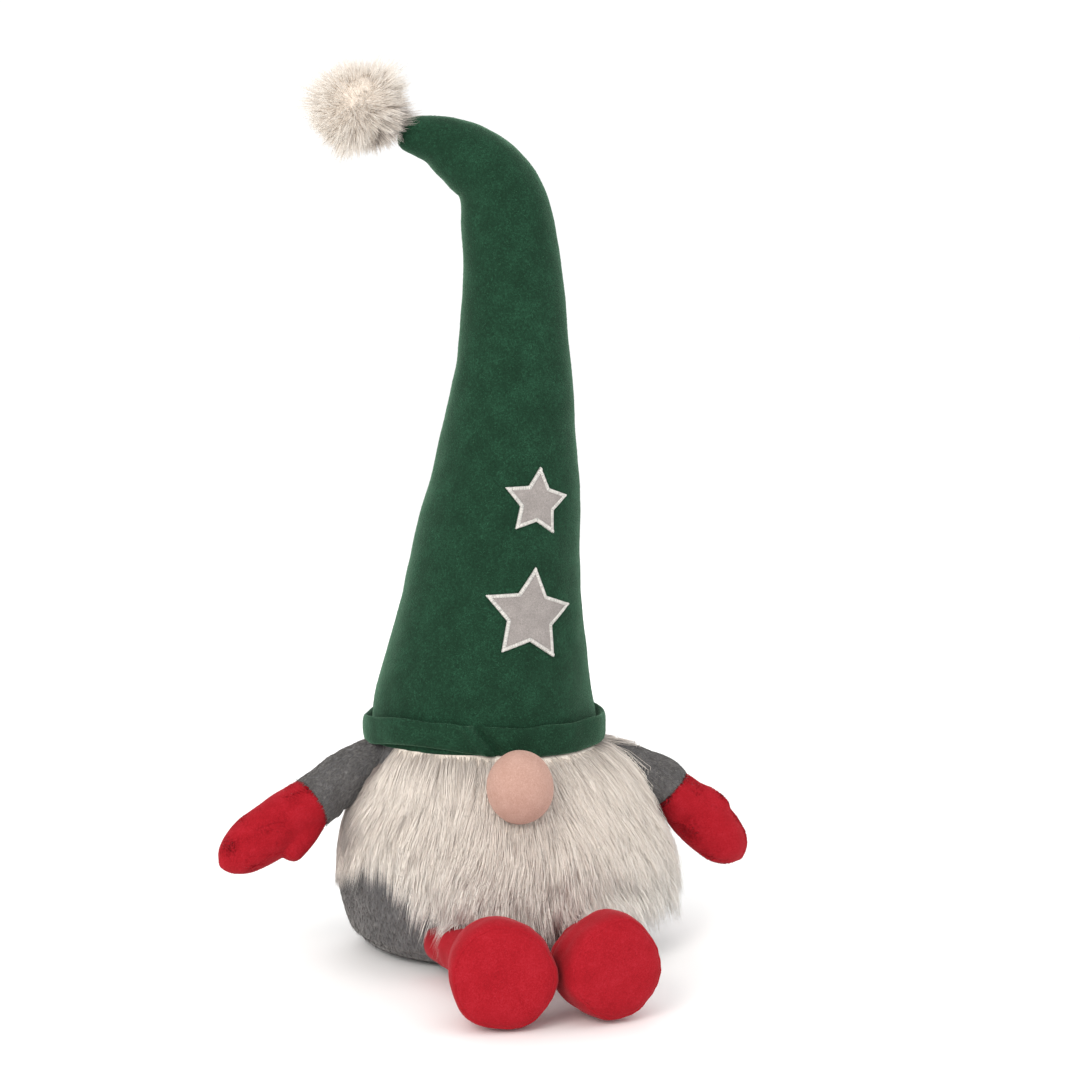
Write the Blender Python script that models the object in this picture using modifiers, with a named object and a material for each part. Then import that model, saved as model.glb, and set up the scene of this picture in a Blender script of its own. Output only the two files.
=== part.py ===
"""A sitting plush gnome with a tall, bent felt hat, a fur beard and stuffed limbs.

Metres, +Z up. The gnome faces -Y and its own right hand is at -X. The origin is
the middle of the base panel's underside, on the surface that it sits on.
"""
import math

import bmesh
import bpy
from mathutils import Matrix, Vector

GAP = 0.0003  # clearance between pieces that touch
LOOSE = 0.0011  # clearance around the stuffing of a limb or the hat
PLUSH = 0.0012  # thickness of the short plush
FELT = 0.0015  # thickness of the hat's felt
SIDES = {"right": -1, "left": 1}

# Body bag: a rounded bottom edge, widest low down, narrowing up into the hat
BASE_RADIUS = 0.060
BODY_RADIUS = 0.095
WIDEST_HEIGHT = 0.045
NECK_RADIUS = 0.071
NECK_HEIGHT = 0.140
TOP_RADIUS = 0.045
TOP_HEIGHT = 0.158
PELLET_RADIUS = 0.070
PELLET_HEIGHT = 0.028

# Beard: a fur panel on a woven backing, cut to an apron outline
BACKING = 0.0010
PILE_DEPTH = 0.0165
BEARD_TOP = 0.134
BEARD_BOTTOM = 0.062
BEARD_SIDE_Y = -0.028

# Nose
NOSE_CENTRE = Vector((-0.0025, -0.1025, 0.1240))
NOSE_RADII = Vector((0.0210, 0.0190, 0.0226))

# Hat: the centreline lies in the XZ plane as (x, z, outer radius)
HAT_STATIONS = (
    (0.0000, 0.1390, 0.0745),
    (0.0000, 0.1620, 0.0735),
    (0.0020, 0.1900, 0.0670),
    (0.0050, 0.2280, 0.0595),
    (0.0090, 0.2620, 0.0550),
    (0.0135, 0.2940, 0.0515),
    (0.0165, 0.3280, 0.0462),
    (0.0190, 0.3600, 0.0410),
    (0.0205, 0.3950, 0.0362),
    (0.0205, 0.4300, 0.0332),
    (0.0185, 0.4620, 0.0310),
    (0.0135, 0.4870, 0.0292),
)
BRIM_BOTTOM = 0.137
BRIM_TOP = 0.155
BRIM_RADIUS = 0.080
HAT_FILLING_BOTTOM = 0.1625
WIRE_RADIUS = 0.0012

# Hat end: a ball seated in the cone's mouth, then the drooping point
BEND_PIVOT = Vector((0.0105, 0.0, 0.4945))
BEND_LEAN = math.radians(22)
BALL_RADIUS = 0.0268
TIP_STATIONS = (
    (0.0030, 0.5080, 0.0255),
    (-0.0085, 0.5175, 0.0225),
    (-0.0195, 0.5245, 0.0195),
    (-0.0360, 0.5305, 0.0145),
    (-0.0510, 0.5325, 0.0100),
    (-0.0550, 0.5330, 0.0060),
)

# Pompom
POMPOM_PIVOT = Vector((-0.0550, 0.0, 0.5330))
POMPOM_CENTRE = Vector((-0.0825, 0.0, 0.5475))
POMPOM_RADIUS = 0.0285
POMPOM_CORE = 0.0190

# Stars: (name, sideways, height, circumradius), both turned a little towards +X
STARS = (("star_large", 0.0062, 0.2252, 0.0308), ("star_small", 0.0143, 0.2969, 0.0226))
STAR_AZIMUTH = math.radians(10)
STAR_TILT = math.radians(-8)
STAR_INNER = 0.53
STAR_BORDER = 0.0022
APPLIQUE = 0.0008

# Arms: (x, z, radius) in the XZ plane from shoulder to wrist, then the mitten
SHOULDER = Vector((0.0915, -0.004, 0.1130))
ARM_FORWARD = -0.25  # the arms lean forward by this share of their reach
SLEEVES = {
    "right": ((0.0940, 0.1150, 0.0060), (0.0978, 0.1134, 0.0098), (0.1025, 0.1110, 0.0135),
              (0.1075, 0.1080, 0.0162), (0.1125, 0.1050, 0.0173), (0.1175, 0.1022, 0.0175)),
    "left": ((0.0940, 0.1110, 0.0060), (0.0990, 0.1112, 0.0096), (0.1050, 0.1100, 0.0130),
             (0.1120, 0.1078, 0.0146), (0.1200, 0.1045, 0.0148), (0.1262, 0.0982, 0.0146)),
}
MITTEN_LENGTH = 0.068
MITTEN_FLAT = 0.78
THUMB_RADII = Vector((0.0125, 0.0085, 0.0095))
THUMBS = {"right": (0.016, -0.0170, 35), "left": (0.030, 0.0130, -20)}

# Legs and boots
HIP = Vector((0.045, -0.0885, 0.0220))
LEG_RADIUS = 0.0140
BOOT_CENTRES = {"right": Vector((-0.0385, -0.1910, 0.0322)),
                "left": Vector((0.0250, -0.1910, 0.0322))}
BOOT_TURN = {"right": math.radians(-6), "left": math.radians(10)}
BOOT_STATIONS = (  # (distance in front of the boot's middle, height, radius)
    (-0.0260, -0.0060, 0.0150),
    (-0.0215, -0.0060, 0.0220),
    (-0.0130, -0.0030, 0.0275),
    (0.0000, 0.0000, 0.0302),
    (0.0110, 0.0000, 0.0305),
    (0.0165, 0.0000, 0.0296),
)
SOLE_RADIUS = 0.0292


def clear_scene():
    for thing in list(bpy.data.objects):
        bpy.data.objects.remove(thing, do_unlink=True)


def make_collection(name):
    collection = bpy.data.collections.new(name)
    bpy.context.scene.collection.children.link(collection)
    return collection


def make_material(name, colour, roughness, metallic=0.0):
    material = bpy.data.materials.new(name)
    material.use_nodes = True
    material.diffuse_color = (*colour, 1.0)
    shader = material.node_tree.nodes["Principled BSDF"]
    shader.inputs["Base Color"].default_value = (*colour, 1.0)
    shader.inputs["Roughness"].default_value = roughness
    shader.inputs["Metallic"].default_value = metallic
    return material


clear_scene()
PARTS = make_collection("tomte_gnome")
CUTTERS = make_collection("tomte_gnome_cutters")
LINEN = (0.70, 0.66, 0.60)
MATERIALS = {
    "grey_plush": make_material("grey_plush", (0.16, 0.15, 0.15), 0.95),
    "red_plush": make_material("red_plush", (0.47, 0.02, 0.03), 0.9),
    "skin_plush": make_material("skin_plush", (0.68, 0.40, 0.32), 0.9),
    "green_felt": make_material("green_felt", (0.02, 0.07, 0.035), 0.95),
    "grey_felt": make_material("grey_felt", (0.37, 0.34, 0.32), 0.9),
    "satin_thread": make_material("satin_thread", (0.68, 0.65, 0.60), 0.5),
    "cream_fur": make_material("cream_fur", (0.72, 0.62, 0.53), 0.9),
    "backing_cloth": make_material("backing_cloth", LINEN, 0.9),
    "fibre_filling": make_material("fibre_filling", (0.82, 0.82, 0.80), 1.0),
    "pellet_bag": make_material("pellet_bag", (0.55, 0.52, 0.48), 0.8),
    "steel_wire": make_material("steel_wire", (0.55, 0.55, 0.56), 0.35, 1.0),
}


def add_object(name, mesh, material):
    thing = bpy.data.objects.new(name, mesh)
    PARTS.objects.link(thing)
    mesh.materials.clear()
    mesh.materials.append(MATERIALS[material])
    for face in mesh.polygons:
        face.use_smooth = True
    return thing


def hide_as_cutter(thing):
    for collection in list(thing.users_collection):
        collection.objects.unlink(thing)
    CUTTERS.objects.link(thing)
    thing.hide_render = True
    thing.display_type = "WIRE"
    return thing


def cut(thing, other, operation):
    change = thing.modifiers.new(operation.lower(), "BOOLEAN")
    change.operation = operation
    change.solver = "EXACT"
    change.object = other


def thicken(thing, thickness):
    shell = thing.modifiers.new("shell", "SOLIDIFY")
    shell.thickness = thickness
    shell.offset = -1.0
    shell.use_even_offset = True


def curve_to_mesh(curve):
    """The mesh of a curve, with its seams welded."""
    carrier = bpy.data.objects.new("carrier", curve)
    bpy.context.scene.collection.objects.link(carrier)
    mesh = bpy.data.meshes.new_from_object(carrier)
    bpy.data.objects.remove(carrier, do_unlink=True)
    work = bmesh.new()
    work.from_mesh(mesh)
    bmesh.ops.remove_doubles(work, verts=work.verts, dist=0.00001)
    bmesh.ops.recalc_face_normals(work, faces=work.faces)
    work.to_mesh(mesh)
    work.free()
    return mesh


def tube(points, radii, resolution, caps):
    """A round tube through points, with its own radius at each of them."""
    curve = bpy.data.curves.new("tube", "CURVE")
    curve.dimensions = "3D"
    curve.bevel_depth = 1.0
    curve.bevel_resolution = resolution
    curve.use_fill_caps = caps
    spline = curve.splines.new("POLY")
    spline.points.add(len(points) - 1)
    for knot, place, radius in zip(spline.points, points, radii):
        knot.co = (*place, 1.0)
        knot.radius = radius
    return curve_to_mesh(curve)


def turned(name, profile, material, steps=36):
    """A solid or surface turned about Z from (radius, z) points."""
    mesh = bpy.data.meshes.new(name)
    work = bmesh.new()
    corners = [work.verts.new((radius, 0.0, height)) for radius, height in profile]
    for first, second in zip(corners, corners[1:]):
        work.edges.new((first, second))
    work.to_mesh(mesh)
    work.free()
    thing = add_object(name, mesh, material)
    screw = thing.modifiers.new("turn", "SCREW")
    screw.steps = steps
    screw.render_steps = steps
    screw.use_merge_vertices = True
    screw.merge_threshold = 0.00001
    screw.use_smooth_shade = True
    return thing


def ellipsoid(centre, radii, segments=20, rings=12, turn=Matrix.Identity(4)):
    mesh = bpy.data.meshes.new("ellipsoid")
    work = bmesh.new()
    bmesh.ops.create_uvsphere(work, u_segments=segments, v_segments=rings, radius=1.0)
    scale = Matrix.Diagonal((*radii, 1.0))
    work.transform(Matrix.Translation(centre) @ turn @ scale)
    work.to_mesh(mesh)
    work.free()
    return mesh


def open_end(mesh, point, reach):
    """Removes the faces within reach of a point, which leaves an opening."""
    work = bmesh.new()
    work.from_mesh(mesh)
    near = [face for face in work.faces if (face.calc_center_median() - point).length < reach]
    bmesh.ops.delete(work, geom=near, context="FACES")
    work.to_mesh(mesh)
    work.free()


def joint_empty(name, place):
    empty = bpy.data.objects.new(name, None)
    empty.location = place
    empty.empty_display_size = 0.02
    PARTS.objects.link(empty)
    return empty


def hang_on(empty, *things):
    """Parents things modelled in world space to a joint's empty, without moving them."""
    for thing in things:
        thing.data.transform(Matrix.Translation(-empty.location))
        thing.parent = empty


def body_profile(inset=0.0):
    """The bag's outline from its top opening down to its base, moved inwards by inset."""
    points = []
    for step in range(4):
        angle = math.radians(90 - 22.5 * step)
        points.append((TOP_RADIUS + (NECK_RADIUS - inset - TOP_RADIUS) * math.cos(angle),
                       NECK_HEIGHT + (TOP_HEIGHT - inset - NECK_HEIGHT) * math.sin(angle)))
    for step in range(6):
        height = NECK_HEIGHT + (WIDEST_HEIGHT - NECK_HEIGHT) * step / 5
        share = (height - WIDEST_HEIGHT) / (NECK_HEIGHT - WIDEST_HEIGHT)
        swell = (BODY_RADIUS - NECK_RADIUS) * (1 - share ** 2)
        points.append((NECK_RADIUS + swell - inset, height))
    for step in range(1, 7):
        angle = math.radians(15 * step)
        radius = BASE_RADIUS + (BODY_RADIUS - inset - BASE_RADIUS) * math.cos(angle)
        height = WIDEST_HEIGHT - (WIDEST_HEIGHT - inset) * math.sin(angle)
        if height > 0.0:
            points.append((radius, height))
    return points


def build_body():
    shell = turned("body_shell", body_profile() + [(BASE_RADIUS, 0.0)], "grey_plush", 40)
    thicken(shell, PLUSH)
    panel = bpy.data.meshes.new("base_panel")
    work = bmesh.new()
    bmesh.ops.create_cone(work, cap_ends=True, segments=40, radius1=BASE_RADIUS - 2 * GAP,
                          radius2=BASE_RADIUS - 2 * GAP, depth=PLUSH,
                          matrix=Matrix.Translation((0, 0, PLUSH / 2)))
    work.to_mesh(panel)
    work.free()
    add_object("base_panel", panel, "grey_plush")
    inset = PLUSH + 3 * GAP
    floor = PLUSH + PELLET_HEIGHT + 3 * GAP
    side = [place for place in body_profile(inset) if place[1] > floor]
    last = (side[-1][0] - 0.002, floor)
    turned("body_filling", [(0.0, TOP_HEIGHT - inset), *side, last, (0.0, floor)],
           "fibre_filling", 32)
    bag = []
    for step in range(9):
        angle = math.radians(90 - 22.5 * step)
        bag.append((PELLET_RADIUS * math.cos(angle) if 0 < step < 8 else 0.0,
                    PLUSH + 2 * GAP + PELLET_HEIGHT / 2 * (1 + math.sin(angle))))
    turned("pellet_bag", bag, "pellet_bag", 28)


def body_ring(name, material, inner, outer, bottom, top):
    """A closed ring around the bag, between two distances from its surface."""
    def wall(distance):
        radii = []
        for step in range(7):
            height = top + (bottom - top) * step / 6
            share = (height - WIDEST_HEIGHT) / (NECK_HEIGHT - WIDEST_HEIGHT)
            swell = (BODY_RADIUS - NECK_RADIUS) * (1 - share ** 2)
            radii.append((NECK_RADIUS + swell + distance, height))
        return radii
    outside = wall(outer)
    return turned(name, [*outside, *reversed(wall(inner)), outside[0]], material, 44)


def flat_prism(name, outline, depth, place):
    """A filled outline, extruded both ways by half of depth, with the given matrix."""
    curve = bpy.data.curves.new(name, "CURVE")
    curve.dimensions = "2D"
    curve.fill_mode = "BOTH"
    curve.extrude = depth / 2
    spline = curve.splines.new("POLY")
    spline.points.add(len(outline) - 1)
    for knot, (across, up) in zip(spline.points, outline):
        knot.co = (across, up, 0.0, 1.0)
    spline.use_cyclic_u = True
    mesh = curve_to_mesh(curve)
    mesh.transform(place)
    return hide_as_cutter(add_object(name, mesh, "backing_cloth"))


def build_beard():
    """The woven backing, sewn under the brim, and the standing depth of its fur."""
    outline = [(-0.112, BEARD_TOP), (-0.116, 0.100), (-0.100, 0.078), (-0.072, BEARD_BOTTOM)]
    outline += [(-across, up) for across, up in reversed(outline)]
    far = -0.150
    facing = Matrix.Rotation(math.radians(90), 4, "X")
    middle = Matrix.Translation((0, (far + BEARD_SIDE_Y) / 2, 0))
    apron = flat_prism("beard_outline", outline, BEARD_SIDE_Y - far, middle @ facing)
    backing = body_ring("beard_backing", "backing_cloth", GAP * 2, GAP * 2 + BACKING,
                        BEARD_BOTTOM - 0.002, BEARD_TOP + 0.001)
    cut(backing, apron, "INTERSECT")
    pile = body_ring("beard_pile", "cream_fur", BACKING + 4 * GAP, BACKING + 4 * GAP + PILE_DEPTH,
                     BEARD_BOTTOM - 0.002, BEARD_TOP + 0.001)
    cut(pile, apron, "INTERSECT")
    seat = NOSE_RADII + Vector((2 * GAP, 2 * GAP, 2 * GAP))
    room = hide_as_cutter(add_object("nose_room", ellipsoid(NOSE_CENTRE, seat), "skin_plush"))
    cut(pile, room, "DIFFERENCE")


def build_nose():
    facing = Matrix.Rotation(math.radians(90), 4, "X")
    turned_radii = Vector((NOSE_RADII.x, NOSE_RADII.z, NOSE_RADII.y))
    mesh = ellipsoid(NOSE_CENTRE, turned_radii, 20, 12, facing)
    open_end(mesh, NOSE_CENTRE + Vector((0, NOSE_RADII.y, 0)), 0.008)
    thicken(add_object("nose_shell", mesh, "skin_plush"), PLUSH)
    inside = turned_radii - Vector([PLUSH + 2 * GAP] * 3)
    add_object("nose_filling", ellipsoid(NOSE_CENTRE, inside, 16, 10, facing), "fibre_filling")


def hat_tube(inset=0.0, first=0, last=len(HAT_STATIONS)):
    """The hat's cone, or the stations of it from first to last, moved inwards by inset."""
    kept = HAT_STATIONS[first:last]
    points = [(x, 0.0, z) for x, z, radius in kept]
    return tube(points, [radius - inset for x, z, radius in kept], 10, False)


def wire_mesh(points, radius):
    return tube(points, [radius] * len(points), 2, True)


def build_hat():
    """The felt cone with its rolled brim, and the stuffing with a bending wire in it."""
    thicken(add_object("hat_cone", hat_tube(), "green_felt"), FELT)
    wall = HAT_STATIONS[0][2] + 2 * GAP
    middle = (BRIM_TOP + BRIM_BOTTOM) / 2
    half = (BRIM_TOP - BRIM_BOTTOM) / 2
    roll = [(wall, BRIM_TOP - 0.002), (wall + 0.002, BRIM_TOP), (BRIM_RADIUS - 0.002, BRIM_TOP),
            (BRIM_RADIUS, middle + 0.6 * half), (BRIM_RADIUS, middle - 0.6 * half),
            (BRIM_RADIUS - 0.002, BRIM_BOTTOM), (wall + 0.001, BRIM_BOTTOM),
            (wall, BRIM_BOTTOM + 0.001), (wall, BRIM_TOP - 0.002)]
    turned("hat_brim", roll, "green_felt", 44)

    route = [(0.0, 0.0, HAT_FILLING_BOTTOM + 0.001)]
    route += [(x, 0.0, z) for x, z, radius in HAT_STATIONS[2:-2]]
    route += [(0.0188, 0.0, 0.4575)]
    add_object("hat_wire", wire_mesh(route, WIRE_RADIUS), "steel_wire")
    ends = [(0.0, 0.0, HAT_FILLING_BOTTOM - 0.005), (0.0150, 0.0, 0.4750)]
    channel = [ends[0], *route, ends[1]]
    channel = add_object("wire_channel", wire_mesh(channel, WIRE_RADIUS + 2 * GAP), "steel_wire")
    hide_as_cutter(channel)
    inset = FELT + 2 * LOOSE
    lumps = (("lower", 1, 4), ("middle", 4, 7), ("upper", 7, 10))
    for name, first, last in lumps:
        stations = list(HAT_STATIONS[first:last + 1])
        if name == "lower":
            stations[0] = (0.0, HAT_FILLING_BOTTOM, HAT_STATIONS[1][2])
        points = [Vector((x, 0.0, z)) for x, z, radius in stations]
        points[-1] -= (points[-1] - points[-2]).normalized() * 8 * GAP
        radii = [radius - inset for x, z, radius in stations]
        lump = add_object("hat_filling_" + name, tube(points, radii, 6, True), "fibre_filling")
        cut(lump, channel, "DIFFERENCE")


def lean_axis():
    return Vector((-math.sin(BEND_LEAN), 0.0, math.cos(BEND_LEAN)))


def tip_tube(inset, lowest, resolution, caps):
    """The ball in the cone's mouth and the point that droops from it."""
    radius = BALL_RADIUS - inset
    points = []
    radii = []
    for degrees in range(lowest, 1, 15):
        angle = math.radians(degrees)
        points.append(BEND_PIVOT + lean_axis() * radius * math.sin(angle))
        radii.append(radius * math.cos(angle))
    for x, z, outer in TIP_STATIONS:
        points.append(Vector((x, 0.0, z)))
        radii.append(outer - inset)
    if inset:
        points.pop()
        radii.pop()
    return tube(points, radii, resolution, caps)


def build_hat_end():
    empty = joint_empty("hat_bend_axis", BEND_PIVOT)
    shell = add_object("hat_tip", tip_tube(0.0, -60, 8, False), "green_felt")
    thicken(shell, FELT)
    inset = FELT + 1.5 * LOOSE
    filling = add_object("hat_tip_filling", tip_tube(inset, -60, 5, True), "fibre_filling")
    route = [BEND_PIVOT - 0.014 * lean_axis(), BEND_PIVOT]
    route += [Vector((x, 0.0, z)) for x, z, radius in TIP_STATIONS[:-2]]
    wire = add_object("hat_tip_wire", wire_mesh(route, WIRE_RADIUS), "steel_wire")
    channel = [BEND_PIVOT - 0.040 * lean_axis(), *route[1:]]
    channel += [Vector((-0.0440, 0.0, 0.5317))]
    channel = add_object("tip_channel", wire_mesh(channel, WIRE_RADIUS + 2 * GAP), "steel_wire")
    hang_on(empty, shell, filling, wire, hide_as_cutter(channel))
    cut(filling, channel, "DIFFERENCE")


def build_pompom():
    empty = joint_empty("pompom_axis", POMPOM_PIVOT)
    reach = POMPOM_CENTRE - POMPOM_PIVOT
    along = reach.normalized()
    turn = along.to_track_quat("-Z", "Y").to_matrix().to_4x4()
    mesh = ellipsoid(POMPOM_CENTRE, [POMPOM_RADIUS] * 3, 20, 12, turn)
    open_end(mesh, POMPOM_CENTRE - along * POMPOM_RADIUS, 0.008)
    pile = add_object("pompom_pile", mesh, "cream_fur")
    thicken(pile, POMPOM_RADIUS - POMPOM_CORE - 2 * GAP)
    core = ellipsoid(POMPOM_CENTRE, [POMPOM_CORE] * 3, 16, 10, turn)
    core = add_object("pompom_core", core, "fibre_filling")
    ends = [POMPOM_PIVOT + along * 0.001, POMPOM_CENTRE - along * (POMPOM_CORE + GAP)]
    tie = add_object("pompom_tie", wire_mesh(ends, 0.0018), "satin_thread")
    hang_on(empty, pile, core, tie)


def star_outline(radius):
    points = []
    for step in range(10):
        reach = radius if step % 2 == 0 else radius * STAR_INNER
        angle = math.radians(90 + 36 * step)
        points.append((reach * math.cos(angle), reach * math.sin(angle)))
    return points


def build_stars():
    """Felt stars and their stitched borders, each bent to the hat's surface."""
    for name, sideways, height, radius in STARS:
        turn = Matrix.Rotation(STAR_AZIMUTH, 4, "Z")
        facing = Matrix.Rotation(math.radians(90), 4, "X") @ Matrix.Rotation(STAR_TILT, 4, "Z")
        place = Matrix.Translation((sideways, 0, height)) @ turn
        place = place @ Matrix.Translation((0, -0.055, 0)) @ facing
        slim = 1 - STAR_BORDER * 2.1 / radius
        outer = flat_prism(name + "_outer", star_outline(radius), 0.050, place)
        inner = flat_prism(name + "_inner", star_outline(radius * slim), 0.056, place)
        patch_size = radius * slim - 0.0008
        patch_cut = flat_prism(name + "_cut", star_outline(patch_size), 0.050, place)
        first = 2 if name == "star_large" else 4
        for node, cutter, material in ((name + "_patch", patch_cut, "grey_felt"),
                                       (name + "_border", outer, "satin_thread")):
            lift = -2 * GAP - APPLIQUE
            mesh = hat_tube(lift, first, first + 4)
            layer = add_object(node, mesh, material)
            thicken(layer, APPLIQUE)
            cut(layer, cutter, "INTERSECT")
            if node.endswith("border"):
                cut(layer, inner, "DIFFERENCE")


def arm_points(side, stations):
    """A sleeve's centreline, which leans forward as it leaves the body."""
    sign = SIDES[side]
    points = []
    for x, z, radius in stations:
        forward = ARM_FORWARD * (x - SHOULDER.x)
        points.append(Vector((sign * x, SHOULDER.y + forward, z)))
    return points


def mitten_body(inset, overrun):
    """The hand of a mitten along +X from its wrist, flattened front to back."""
    shares = (0.0, 0.15, 0.38, 0.62, 0.82, 0.93, 1.0)
    widths = (0.0172, 0.0182, 0.0190, 0.0182, 0.0148, 0.0100, 0.0045)
    points = [(MITTEN_LENGTH * share, 0.0, 0.0) for share in shares]
    radii = [width - inset for width in widths]
    if inset:
        points[-1] = (MITTEN_LENGTH - inset, 0.0, 0.0)
        radii[-1] = 0.0035
        points[0] = (-overrun, 0.0, 0.0)
    mesh = tube(points, radii, 7, True)
    for corner in mesh.vertices:
        depth = min(1.0, max(0.0, corner.co.x / (0.3 * MITTEN_LENGTH)))
        corner.co.y *= 1 - (1 - MITTEN_FLAT) * depth
    return mesh


def build_arm(side):
    """A grey sleeve with a red mitten sewn to its wrist, and their stuffing."""
    sign = SIDES[side]
    pivot = Vector((sign * SHOULDER.x, SHOULDER.y, SHOULDER.z))
    empty = joint_empty("shoulder_" + side + "_axis", pivot)
    stations = SLEEVES[side]
    points = arm_points(side, stations)
    radii = [radius for x, z, radius in stations]
    sleeve = add_object("sleeve_" + side, tube(points, radii, 7, False), "grey_plush")
    thicken(sleeve, PLUSH)

    wrist = points[-1]
    along = (wrist - points[-2]).normalized()
    back = Vector((0, 0, 1)).cross(along).normalized()
    frame = Matrix((along, back, along.cross(back))).transposed().to_4x4()
    frame.translation = wrist + along * 2 * GAP
    mitten = add_object("mitten_" + side, mitten_body(0.0, 0.0), "red_plush")
    reach, lift, lean = THUMBS[side]
    thumb_turn = Matrix.Rotation(math.radians(lean), 4, "Y")
    thumb = ellipsoid(Vector((reach, 0.0, lift)), THUMB_RADII, 16, 10, thumb_turn)
    thumb = hide_as_cutter(add_object("thumb_" + side, thumb, "red_plush"))
    hollow = add_object("mitten_hollow_" + side, mitten_body(PLUSH, 0.004), "red_plush")
    hide_as_cutter(hollow)
    for piece in (mitten, thumb, hollow):
        piece.data.transform(frame)
    cut(mitten, thumb, "UNION")
    cut(mitten, hollow, "DIFFERENCE")

    inset = PLUSH + LOOSE
    inner = [radius - inset for radius in radii[1:]] + [0.0150, 0.0165, 0.0150, 0.0085]
    hand = [frame @ Vector((reach, 0.0, 0.0)) for reach in (0.006, 0.022, 0.045, 0.060)]
    stuffing = tube(points[1:] + hand, inner, 4, True)
    inverse = frame.inverted()
    for corner in stuffing.vertices:
        place = inverse @ corner.co
        depth = min(1.0, max(0.0, place.x / (0.3 * MITTEN_LENGTH)))
        place.y *= 1 - (1 - MITTEN_FLAT + 0.04) * depth
        corner.co = frame @ place
    stuffing = add_object("arm_filling_" + side, stuffing, "fibre_filling")
    hang_on(empty, sleeve, mitten, thumb, hollow, stuffing)


def boot_frame(side):
    turn = Matrix.Rotation(BOOT_TURN[side], 4, "Z")
    return Matrix.Translation(BOOT_CENTRES[side]) @ turn


def build_boot(side):
    """A soft boot whose round sole faces forward, with its stuffing."""
    points = [(0, -reach, height) for reach, height, radius in BOOT_STATIONS]
    radii = [radius for reach, height, radius in BOOT_STATIONS]
    upper = add_object("boot_upper_" + side, tube(points, radii, 8, False), "red_plush")
    thicken(upper, PLUSH)
    sole = bpy.data.meshes.new("sole")
    work = bmesh.new()
    lay = Matrix.Translation((0, points[-1][1] - 2 * GAP - PLUSH / 2, 0))
    lay = lay @ Matrix.Rotation(math.radians(90), 4, "X")
    bmesh.ops.create_cone(work, cap_ends=True, segments=24, radius1=SOLE_RADIUS,
                          radius2=SOLE_RADIUS, depth=PLUSH, matrix=lay)
    work.to_mesh(sole)
    work.free()
    sole = add_object("boot_sole_" + side, sole, "red_plush")
    middle = [(0, -reach, 0) for reach, height, radius in BOOT_STATIONS[2:]]
    inner = [radius + height - PLUSH - 2 * LOOSE for reach, height, radius in BOOT_STATIONS[2:]]
    padding = add_object("boot_filling_" + side, tube(middle, inner, 5, True), "fibre_filling")
    for piece in (upper, sole, padding):
        piece.data.transform(boot_frame(side))
    return upper, sole, padding


def build_leg(side):
    """A red tube leg that swings at the body and carries its boot."""
    pivot = Vector((SIDES[side] * HIP.x, HIP.y, HIP.z))
    empty = joint_empty("hip_" + side + "_axis", pivot)
    reach, height, radius = BOOT_STATIONS[0]
    end = boot_frame(side) @ Vector((0, -reach + 3 * GAP, height))
    ankle = boot_frame(side) @ Vector((0, -reach + LEG_RADIUS, height))
    points = [pivot.lerp(ankle, share) for share in (0.07, 0.18, 0.34, 0.58, 1.0)] + [end]
    radii = [0.0075, 0.0105, 0.0130, LEG_RADIUS, LEG_RADIUS, LEG_RADIUS]
    leg = add_object("leg_" + side, tube(points, radii, 6, False), "red_plush")
    thicken(leg, PLUSH)
    points[0] = pivot.lerp(ankle, 0.10)
    inner = [radius - PLUSH - LOOSE for radius in radii]
    stuffing = add_object("leg_filling_" + side, tube(points, inner, 4, True), "fibre_filling")
    hang_on(empty, leg, stuffing, *build_boot(side))


build_body()
build_beard()
build_nose()
build_hat()
build_hat_end()
build_pompom()
build_stars()
for side_name in SIDES:
    build_arm(side_name)
    build_leg(side_name)
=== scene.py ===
"""A stuffed Nordic gnome with a tall felt hat and a fur beard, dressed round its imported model."""

import math

import bmesh
import bpy
import numpy as np
from mathutils import Euler, Matrix, Vector, noise
from mathutils.bvhtree import BVHTree


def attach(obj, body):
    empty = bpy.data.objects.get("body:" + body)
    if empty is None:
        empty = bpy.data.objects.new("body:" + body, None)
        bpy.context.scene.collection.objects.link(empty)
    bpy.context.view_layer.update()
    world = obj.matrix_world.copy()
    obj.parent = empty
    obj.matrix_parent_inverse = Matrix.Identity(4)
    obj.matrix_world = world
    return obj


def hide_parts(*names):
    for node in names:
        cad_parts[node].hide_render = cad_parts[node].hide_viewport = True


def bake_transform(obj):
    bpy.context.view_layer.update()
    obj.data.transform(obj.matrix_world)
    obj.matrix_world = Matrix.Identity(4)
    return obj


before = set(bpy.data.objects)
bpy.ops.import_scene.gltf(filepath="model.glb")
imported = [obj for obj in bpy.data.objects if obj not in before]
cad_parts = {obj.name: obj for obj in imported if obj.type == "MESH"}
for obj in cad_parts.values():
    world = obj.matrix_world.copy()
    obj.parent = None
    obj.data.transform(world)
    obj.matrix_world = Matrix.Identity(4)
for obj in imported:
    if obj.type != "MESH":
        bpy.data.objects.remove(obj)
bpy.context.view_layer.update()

noise.seed_set(1)  # without a seed, its vectors differ from run to run

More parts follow.
